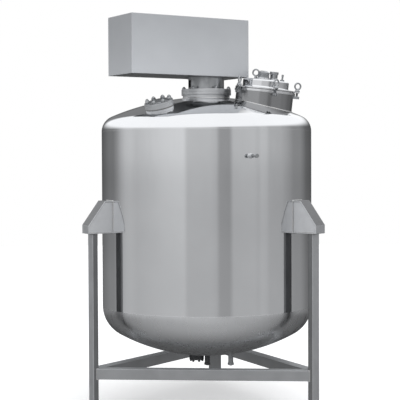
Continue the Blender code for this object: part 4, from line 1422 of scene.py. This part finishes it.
def make_sight_glass(spot, low, high, radius):
    """A ring with a recess for its pane and eight socket screws round it."""
    seat = high - PANE_DEPTH
    recess = PANE_RADIUS + GAP
    waist = radius * 0.86
    profile = [(0.0, seat), (recess, seat), (recess, high), (radius, high), (radius, high - 0.014)]
    profile += [(waist, high - 0.017), (waist, low + 0.006), (radius, low + 0.004)]
    profile = rounded([*profile, (radius, low), (0.0, low)], FINE_EDGE, points=3)
    shape = lathed(profile, FITTING_STEPS, spot)
    screw = screw_mesh(0.0022, 0.002)
    along_path(shape, circle((radius + PANE_RADIUS) / 2), 8, screw, lifted(spot, high))
    new_piece("bolted_sight_glass", shape, machined_finish(), "sight_glass")
    pane = disc_profile(PANE_RADIUS, seat + GAP, seat + GAP + PANE_THICKNESS, 0.0006)
    turned_piece("clear_sight_pane", "sight_pane", pane, FITTING_STEPS, pane_finish(), spot)


def make_vent(low, steps):
    """A threaded stub with a six-sided foot and a small cap."""
    azimuth, from_middle, radius, foot, height = VENT
    spot = manway_at(azimuth, from_middle)
    shape = bmesh.new()
    hex_nut(shape, foot * 1.73, low, low + FITTING_BASE, spot)
    thread(shape, radius * 0.9, low + FITTING_BASE * 0.8, low + height * 0.7, spot, steps)
    turn(shape, disc_profile(radius, low + height * 0.66, low + height, SOFT_EDGE), steps, spot)
    new_piece("capped_vent", shape, machined_finish(), "vent")


def make_lid_eye(low, steps):
    """The lid's lifting eye."""
    azimuth, from_middle, stem, radius = LID_EYE
    spot = manway_at(azimuth, from_middle)
    top = low + stem
    profile = [(0.0, top), (radius * 0.8, top), (radius, low + 0.006)]
    profile += [(radius * 1.6, low + 0.004), (radius * 1.6, low), (0.0, low)]
    shape = lathed(rounded(profile, SLIGHT_EDGE), steps, spot)
    eye_ring(shape, spot, top - EYE_BAR + EYE_RADIUS, -azimuth)
    new_piece("forged_lid_eye", shape, machined_finish(), "lid_eye")


# Probe and outlets


def make_probe(sizes):
    """A boss in the shell and a probe with a six-sided neck and a knob."""
    out = at_azimuth(0.0, PROBE_AZIMUTH, PROBE_Z) @ about("X", 90.0)
    steps = sizes.small_steps
    end = SHELL_RADIUS + PROBE_BOSS_LENGTH
    boss = disc_profile(PROBE_BOSS_RADIUS, SHELL_RADIUS - WALL / 2, end, EDGE)
    turned_piece("turned_probe_boss", "probe_boss", boss, steps, brushed_finish(), out)
    start = end + GAP
    tip = SHELL_RADIUS + PROBE_LENGTH
    knob = tip - PROBE_KNOB_LENGTH
    profile = [(0.0, tip), (PROBE_KNOB_RADIUS, tip), (PROBE_KNOB_RADIUS, knob)]
    profile += [(PROBE_STEM_RADIUS, knob), (PROBE_STEM_RADIUS, start), (0.0, start)]
    head = lathed(rounded(profile, EDGE), steps, out)
    hex_nut(head, PROBE_KNOB_RADIUS * 1.6, start, start + 0.009, out)
    new_piece("turned_probe_head", head, machined_finish(), "probe_head")
    loop = circle(PROBE_BOSS_RADIUS, 0.0, 32)
    loop = [(across, up, math.sqrt(SHELL_RADIUS**2 - across**2)) for across, up, _ in loop]
    weld("probe_weld", [placed(out, loop)], 0.0018)


def drain_place(height=0.0):
    return VESSEL @ Matrix.Translation((-DRAIN_OFFSET, 0.0, height))


def make_outlets(sizes):
    """The drain pad with its blind cover, and the two capped outlets."""
    place = drain_place()
    # Painted shade: the drain pad, its cover and the middle outlet, in the vessel's shadow under the bottom
    # head, get a much darker copy of the machined steel
    darkened = machined_finish("painted_shade_fitting_finish", shade=0.25)
    pad = ring_profile(DRAIN_BORE, DRAIN_RADIUS, *heights("drain_pad"), SLIGHT_EDGE)
    turned_piece("turned_drain_pad", "drain_pad", pad, FITTING_STEPS, darkened, place, True)
    low, high = heights("drain_cover")
    cover = lathed(disc_profile(DRAIN_RADIUS, low, high, SOFT_EDGE), FITTING_STEPS, place)
    stud = stud_mesh(0.013, 0.008, 0.004, 0.012)
    along_path(cover, circle(DRAIN_STUD_CIRCLE), 6, stud, drain_place(low) @ about("X", 180.0))
    new_piece("bolted_drain_cover", cover, darkened, "drain_cover")
    loops = [ring_on_sphere(place, DRAIN_RADIUS, False)]
    for name, (azimuth, from_axis) in OUTLETS.items():
        spot = at_azimuth(from_axis, azimuth)
        # Only the middle outlet takes the painted shade; the side outlet keeps the plain machined steel
        steel = machined_finish() if from_axis else darkened
        neck = ring_profile(OUTLET_BORE, OUTLET_RADIUS, *heights(name), FINE_EDGE)
        turned_piece(name + "_neck", name, neck, OUTLET_STEPS, steel, spot, True)
        low, high = heights(name + "_cap")
        cap = lathed(disc_profile(OUTLET_CAP_RADIUS, low, high, 0.0018), OUTLET_STEPS, spot)
        hex_nut(cap, OUTLET_RADIUS, low - 0.004, low + 0.002, spot)
        new_piece(name + "_screw_cap", cap, steel, name + "_cap")
        loops.append(ring_on_sphere(spot, OUTLET_RADIUS, False, OUTLET_STEPS))
    weld("outlet_welds", loops, 0.002)


# Studio


def make_floor(studio):
    shape = bmesh.new()
    bmesh.ops.create_circle(shape, cap_ends=True, segments=96, radius=studio.floor_radius)
    floor = linked_object("floor", mesh_of("floor", shape))
    surface = Surface("pale_floor", 0.0)
    grain = surface.noise(40.0, 2.0)
    surface.tint(grain, studio.floor_tint, 0.01)
    surface.shader["Specular IOR Level"].default_value = 0.1
    surface.shader["Emission Color"].default_value = (1.0, 1.0, 1.0, 1.0)
    surface.shader["Emission Strength"].default_value = studio.floor_glow
    floor.data.materials.append(surface.skin(grain, (0.8, 0.95)))
    floor.visible_glossy = False


def stepped(nodes, value, stops):
    """A grey ramp through (place, brightness) stops."""
    ramp = nodes.add("ShaderNodeValToRGB", {"Fac": value})
    elements = ramp.color_ramp.elements
    while len(elements) < len(stops):
        elements.new(0.5)
    for element, (position, level) in zip(elements, sorted(stops)):
        element.position = position
        element.color = (level, level, level, 1.0)
    return ramp.outputs["Color"]


def smooth(nodes, value, edge, low=0.0, high=1.0):
    """A value that goes smoothly from low to high over an edge."""
    return nodes.spread(value, low, high, *edge, "SMOOTHSTEP")


def make_light(studio):
    """Bands of light all round, a white ceiling and less light from below."""
    world = bpy.data.worlds.new("studio")
    bpy.context.scene.world = world
    world.use_nodes = True
    world.node_tree.nodes.clear()
    nodes = Nodes(world.node_tree)
    direction = nodes.add("ShaderNodeTexCoord").outputs["Generated"]
    x, y, z = nodes.add("ShaderNodeSeparateXYZ", {"Vector": direction}).outputs
    path = nodes.add("ShaderNodeLightPath").outputs

    azimuth = nodes.math("ARCTAN2", x, nodes.math("MULTIPLY", y, -1.0))
    share = nodes.math("ADD", nodes.math("DIVIDE", azimuth, math.tau), 0.5)
    bands = stepped(nodes, share, [(degrees / 360 + 0.5, level) for degrees, level in STUDIO_BANDS])
    contrast = nodes.spread(z, *WALL_CONTRASTS, *WALL_HEIGHTS)
    against = nodes.math("POWER", nodes.math("DIVIDE", bands, WALL_LEVEL), contrast)
    level = smooth(nodes, z, UPPER_EDGE, WALL_LEVEL, WALL_LEVEL * UPPER_GAIN)
    walls = nodes.math("MULTIPLY", level, against)
    depth = nodes.math("ADD", nodes.math("MULTIPLY", y, 0.5), 0.5)
    lower = nodes.mixed(walls, stepped(nodes, depth, STUDIO_FLOOR), smooth(nodes, z, LOWER_EDGE))

    opening = smooth(nodes, nodes.dot(direction, OPENING_AXIS), OPENING_EDGE)
    opening = nodes.math("MULTIPLY", opening, smooth(nodes, x, OPENING_SIDE))
    ceiling = nodes.mixed(studio.overhead, OPENING_LEVEL, opening)
    slope = nodes.math("MULTIPLY", nodes.math("MAXIMUM", x, 0.0), CEILING_SLANT)
    height = nodes.math("SUBTRACT", z, slope)
    whole = nodes.mixed(lower, ceiling, smooth(nodes, height, CEILING_EDGE))

    slant = nodes.math("MULTIPLY", nodes.dot(direction, FILL_AXIS), FILL_SLANT)
    fill = nodes.math("MULTIPLY", nodes.math("ADD", slant, 1.0), studio.fill)
    strength = nodes.mixed(whole, fill, path["Is Diffuse Ray"])
    lit = nodes.add("ShaderNodeBackground", {"Color": STUDIO_COLOUR, "Strength": strength})
    plain = nodes.add("ShaderNodeBackground", {"Color": (1.0, 1.0, 1.0, 1.0), "Strength": 1.0})
    mix = nodes.add("ShaderNodeMixShader", {"Fac": path["Is Camera Ray"]})
    nodes.feed(mix.inputs[1], lit.outputs["Background"])
    nodes.feed(mix.inputs[2], plain.outputs["Background"])
    nodes.add("ShaderNodeOutputWorld", {"Surface": mix.outputs["Shader"]})


def make_camera(studio):
    data = bpy.data.cameras.new("camera")
    data.sensor_width = 36.0
    data.lens = studio.lens
    data.clip_end = 100.0
    camera = linked_object("camera", data)
    yaw, pitch, roll = (math.radians(angle) for angle in studio.camera_aim)
    side = about("Z", studio.camera_azimuth)
    spot = VESSEL @ side @ Vector((0.0, -studio.camera_distance, studio.camera_height))
    level = math.cos(pitch)
    ahead = Vector((math.sin(yaw) * level, math.cos(yaw) * level, -math.sin(pitch)))
    facing = (side.to_3x3() @ ahead).to_track_quat("-Z", "Y").to_matrix().to_4x4()
    camera.matrix_world = Matrix.Translation(spot) @ facing @ Matrix.Rotation(roll, 4, "Z")
    bpy.context.scene.camera = camera


# Operators


class VESSEL_OT_stage(bpy.types.Operator):
    """Build the floor, the studio's light and the camera"""

    bl_idname = "vessel.stage"
    bl_label = "Studio"

    def execute(self, context):
        studio = context.scene.vessel_studio
        make_camera(studio)
        make_floor(studio)
        make_light(studio)
        context.scene.view_settings.view_transform = "Standard"
        return {"FINISHED"}


class VESSEL_OT_body(bpy.types.Operator):
    """Build the polished shell, its two heads and their seams"""

    bl_idname = "vessel.body"
    bl_label = "Shell and heads"

    def execute(self, context):
        make_body(context.scene.vessel_sizes)
        return {"FINISHED"}


class VESSEL_OT_supports(bpy.types.Operator):
    """Build the lugs, legs, feet and rails with their welds"""

    bl_idname = "vessel.supports"
    bl_label = "Lugs, legs and rails"

    def execute(self, context):
        sizes = context.scene.vessel_sizes
        for side, azimuth in SIDES.items():
            make_lug(side, azimuth, sizes)
            make_leg(side, azimuth, sizes)
        for side, azimuth in RAILS.items():
            make_rail(side, azimuth, sizes)
        return {"FINISHED"}


class VESSEL_OT_drive(bpy.types.Operator):
    """Build the drive's pad, flanges, pedestal, shaft and studs"""

    bl_idname = "vessel.drive"
    bl_label = "Drive pedestal"

    def execute(self, context):
        make_drive(context.scene.vessel_sizes)
        return {"FINISHED"}


class VESSEL_OT_cover(bpy.types.Operator):
    """Build the drive cover, its base plate and screws"""

    bl_idname = "vessel.cover"
    bl_label = "Drive cover"

    def execute(self, context):
        make_cover(context.scene.vessel_sizes)
        return {"FINISHED"}


class VESSEL_OT_hand_hole(bpy.types.Operator):
    """Build the hand-hole's pad, cover and studs"""

    bl_idname = "vessel.hand_hole"
    bl_label = "Hand-hole"

    def execute(self, context):
        make_hand_hole(context.scene.vessel_sizes)
        return {"FINISHED"}


class VESSEL_OT_manway(bpy.types.Operator):
    """Build the manway's neck, rim, seal, lid, eye bolts and hinge"""

    bl_idname = "vessel.manway"
    bl_label = "Manway"

    def execute(self, context):
        make_manway(context.scene.vessel_sizes)
        return {"FINISHED"}


class VESSEL_OT_lid_fittings(bpy.types.Operator):
    """Build the lamp, sight glass, vent and lifting eye on the lid"""

    bl_idname = "vessel.lid_fittings"
    bl_label = "Lid fittings"

    def execute(self, context):
        make_lid_fittings(context.scene.vessel_sizes)
        return {"FINISHED"}


class VESSEL_OT_probe(bpy.types.Operator):
    """Build the probe in the shell"""

    bl_idname = "vessel.probe"
    bl_label = "Probe"

    def execute(self, context):
        make_probe(context.scene.vessel_sizes)
        return {"FINISHED"}


class VESSEL_OT_outlets(bpy.types.Operator):
    """Build the drain and the outlets under the bottom head"""

    bl_idname = "vessel.outlets"
    bl_label = "Drain and outlets"

    def execute(self, context):
        make_outlets(context.scene.vessel_sizes)
        return {"FINISHED"}


OPERATORS = (
    VESSEL_OT_stage,
    VESSEL_OT_body,
    VESSEL_OT_supports,
    VESSEL_OT_drive,
    VESSEL_OT_cover,
    VESSEL_OT_hand_hole,
    VESSEL_OT_manway,
    VESSEL_OT_lid_fittings,
    VESSEL_OT_probe,
    VESSEL_OT_outlets,
)


class VESSEL_PT_parts(bpy.types.Panel):
    """Lists the vessel's parts and their settings"""

    bl_label = "Vessel"
    bl_idname = "VESSEL_PT_parts"
    bl_space_type = "VIEW_3D"
    bl_region_type = "UI"
    bl_category = "Vessel"

    def draw(self, context):
        for settings in (
            context.scene.vessel_sizes,
            context.scene.vessel_finish,
            context.scene.vessel_studio,
        ):
            box = self.layout.box()
            for name in settings.bl_rna.properties.keys():
                if name not in ("rna_type", "name"):
                    box.prop(settings, name)
        for operator in OPERATORS:
            self.layout.operator(operator.bl_idname)


CLASSES = (VesselSizes, VesselFinish, VesselStudio, *OPERATORS, VESSEL_PT_parts)


def register():
    for item in CLASSES:
        bpy.utils.register_class(item)
    bpy.types.Scene.vessel_sizes = bpy.props.PointerProperty(type=VesselSizes)
    bpy.types.Scene.vessel_finish = bpy.props.PointerProperty(type=VesselFinish)
    bpy.types.Scene.vessel_studio = bpy.props.PointerProperty(type=VesselStudio)


def unregister():
    del bpy.types.Scene.vessel_studio
    del bpy.types.Scene.vessel_finish
    del bpy.types.Scene.vessel_sizes
    for item in reversed(CLASSES):
        bpy.utils.unregister_class(item)


def main():
    register()
    bpy.ops.vessel.stage()
    bpy.ops.vessel.body()
    bpy.ops.vessel.supports()
    bpy.ops.vessel.drive()
    bpy.ops.vessel.cover()
    bpy.ops.vessel.hand_hole()
    bpy.ops.vessel.manway()
    bpy.ops.vessel.lid_fittings()
    bpy.ops.vessel.probe()
    bpy.ops.vessel.outlets()


if __name__ == "__main__":
    main()
